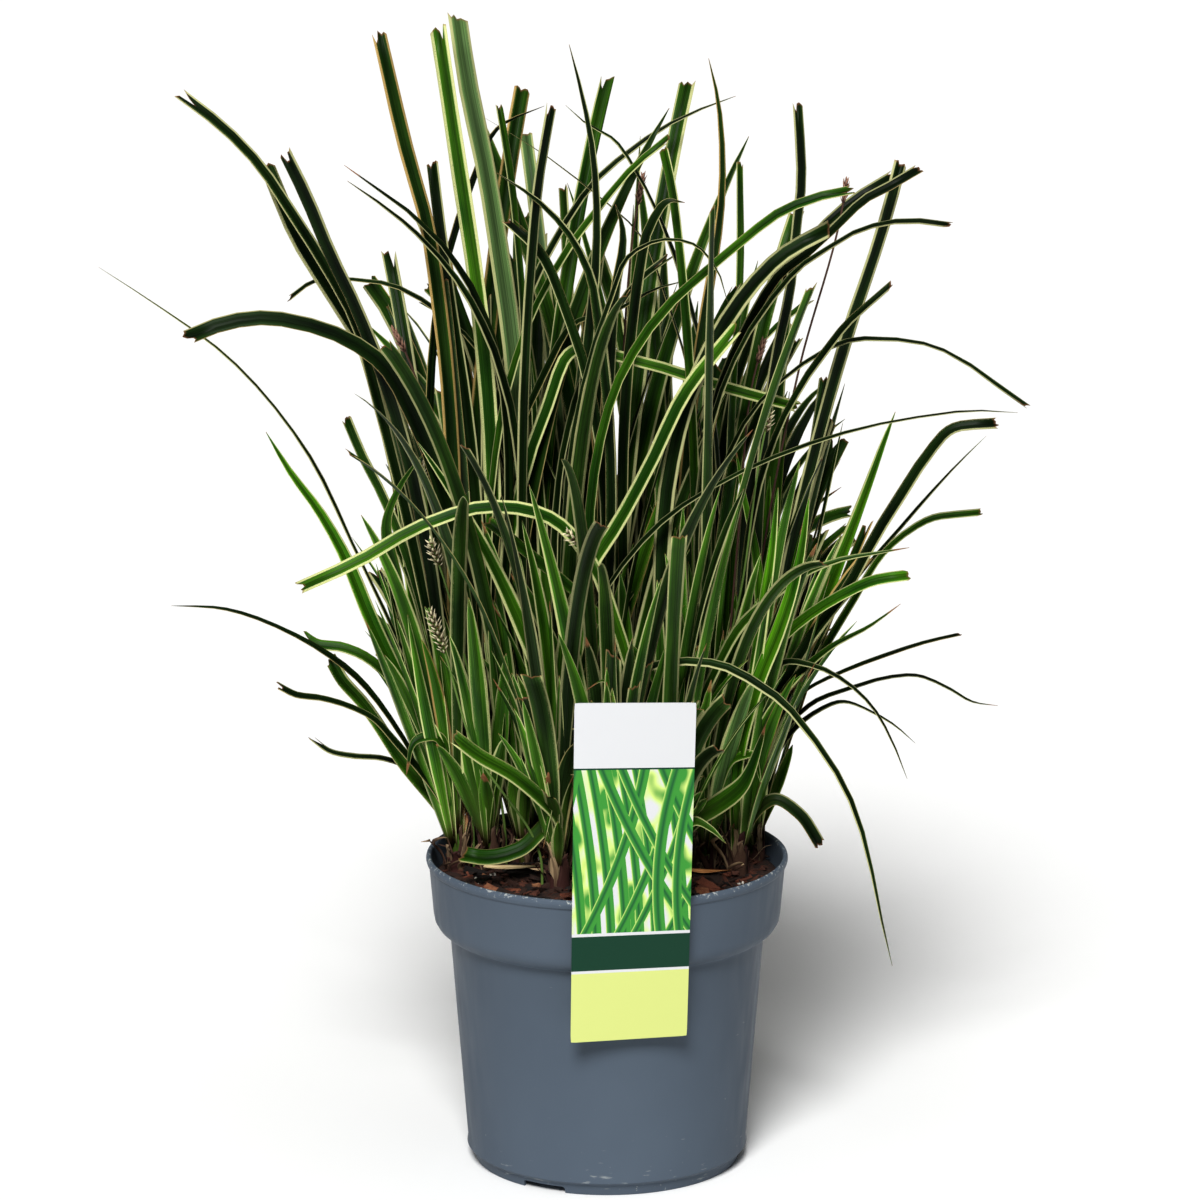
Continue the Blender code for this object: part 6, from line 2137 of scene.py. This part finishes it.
def plain_plastic() -> bpy.types.Material:
    """Bare white sheet plastic for the label's tongue: satin, with fine drawn lines."""
    made, tree, shader = new_material("white sheet plastic")
    place = add_node(tree, "TexCoord").outputs["Object"]
    drawn = add_node(tree, "VectorMath", {"operation": "MULTIPLY", 1: (900.0, 900.0, 60.0)}, {0: place}).outputs[0]
    lines = add_node(tree, "TexNoise", {"Scale": 1.0, "Detail": 2.0}, {"Vector": drawn}).outputs["Fac"]
    colour = add_node(
        tree, "Mix", {"data_type": "RGBA", 6: linear("DDE0DC"), 7: linear("ECEEEB")}, {0: lines}
    ).outputs[2]
    tree.links.new(colour, shader.inputs["Base Color"])
    shader.inputs["Roughness"].default_value = 0.35
    return made


def lime_grit() -> bpy.types.Material:
    """Lime grit and small pale perlite: chalky white with fine pits."""
    made, tree, shader = new_material("lime grit")
    place = add_node(tree, "TexCoord").outputs["Object"]
    pits = add_node(tree, "TexNoise", {"Scale": 1500.0, "Detail": 3.0}, {"Vector": place}).outputs["Fac"]
    colour = add_node(
        tree, "Mix", {"data_type": "RGBA", 6: linear("9C958A"), 7: linear("DAD6CC")}, {0: pits}
    ).outputs[2]
    tree.links.new(colour, shader.inputs["Base Color"])
    shader.inputs["Roughness"].default_value = 0.9
    bump = add_node(tree, "Bump", {"Strength": 0.5, "Distance": 0.0002}, {"Height": pits}).outputs[0]
    tree.links.new(bump, shader.inputs["Normal"])
    return made


def grow_leaves() -> dict[str, list[Leaf]]:
    """Runs the growth rule among the frame's solids, in the order in which they were placed.

    Returns:
        The leaves of each shoot.
    """
    thicket = Thicket()
    for name in ("pot", "label"):
        thicket.add(name, *solid_of(name))
    for name in ("dry_leaf_straw", "dry_leaf_orange"):
        thicket.add(name, *solid_of(name))
    for shoot in SHOOTS:
        thicket.add(shoot[0], *sheath_column(shoot))
    for row in STALKS:
        thicket.add(row[0], *solid_of(row[0]))
    thicket.add("soil", *solid_of("soil"))
    growth = Growth(thicket)
    growth.place()
    LOG.info("leaves: %d", sum(len(found) for found in growth.leaves.values()))
    return growth.leaves


def main() -> None:
    """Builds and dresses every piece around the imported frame."""
    logging.basicConfig(level=logging.INFO, format="%(message)s")
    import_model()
    Studio().build()
    leaves = grow_leaves()
    patterns = Patterns()
    blades = Blades()
    blades.model()
    small = Blades(rows=12)
    small.model()
    slips = Blades(columns=5, rows=9)
    slips.model()
    living = LeafFinish().material()
    papery = SheathFinish().material()
    for shoot in SHOOTS:
        ShootPiece(shoot, leaves[shoot[0]]).build((blades, small, slips), living, papery)
    rod, husk = patterns.rod(), patterns.husk()
    pale = SpikeFinish("pale sedge spikelets", "5A4A22", "F0E4C0", "5F7A34").material()
    dry = SpikeFinish("dry sedge spikelets", "43241B", "A07A66", "4A2F22").material()
    for row in STALKS:
        StalkPiece(row).build(rod, husk, dry if "brown" in row[0] else pale)
    Bed().build(patterns, BarkFinish().material(False), BarkFinish().material(True), lime_grit())
    PotPiece().build(PotFinish().material())
    LabelPiece().build(LabelFinish().material(), plain_plastic())
    straw = DryFinish("straw dry leaf", "B79A6C", "E0CDA4").material()
    orange = DryFinish("orange dry leaf", "9A5A2C", "D39A5E").material()
    DryLeaf("dry_leaf_straw", (-44.0, -8.0), 20.0, 0.05, 4.5, "straw_leaf").build(blades, straw)
    DryLeaf("dry_leaf_orange", (53.5, -16.0), 11.0, -0.08, 4.5, "orange_leaf").build(blades, orange)


if __name__ == "__main__":
    main()
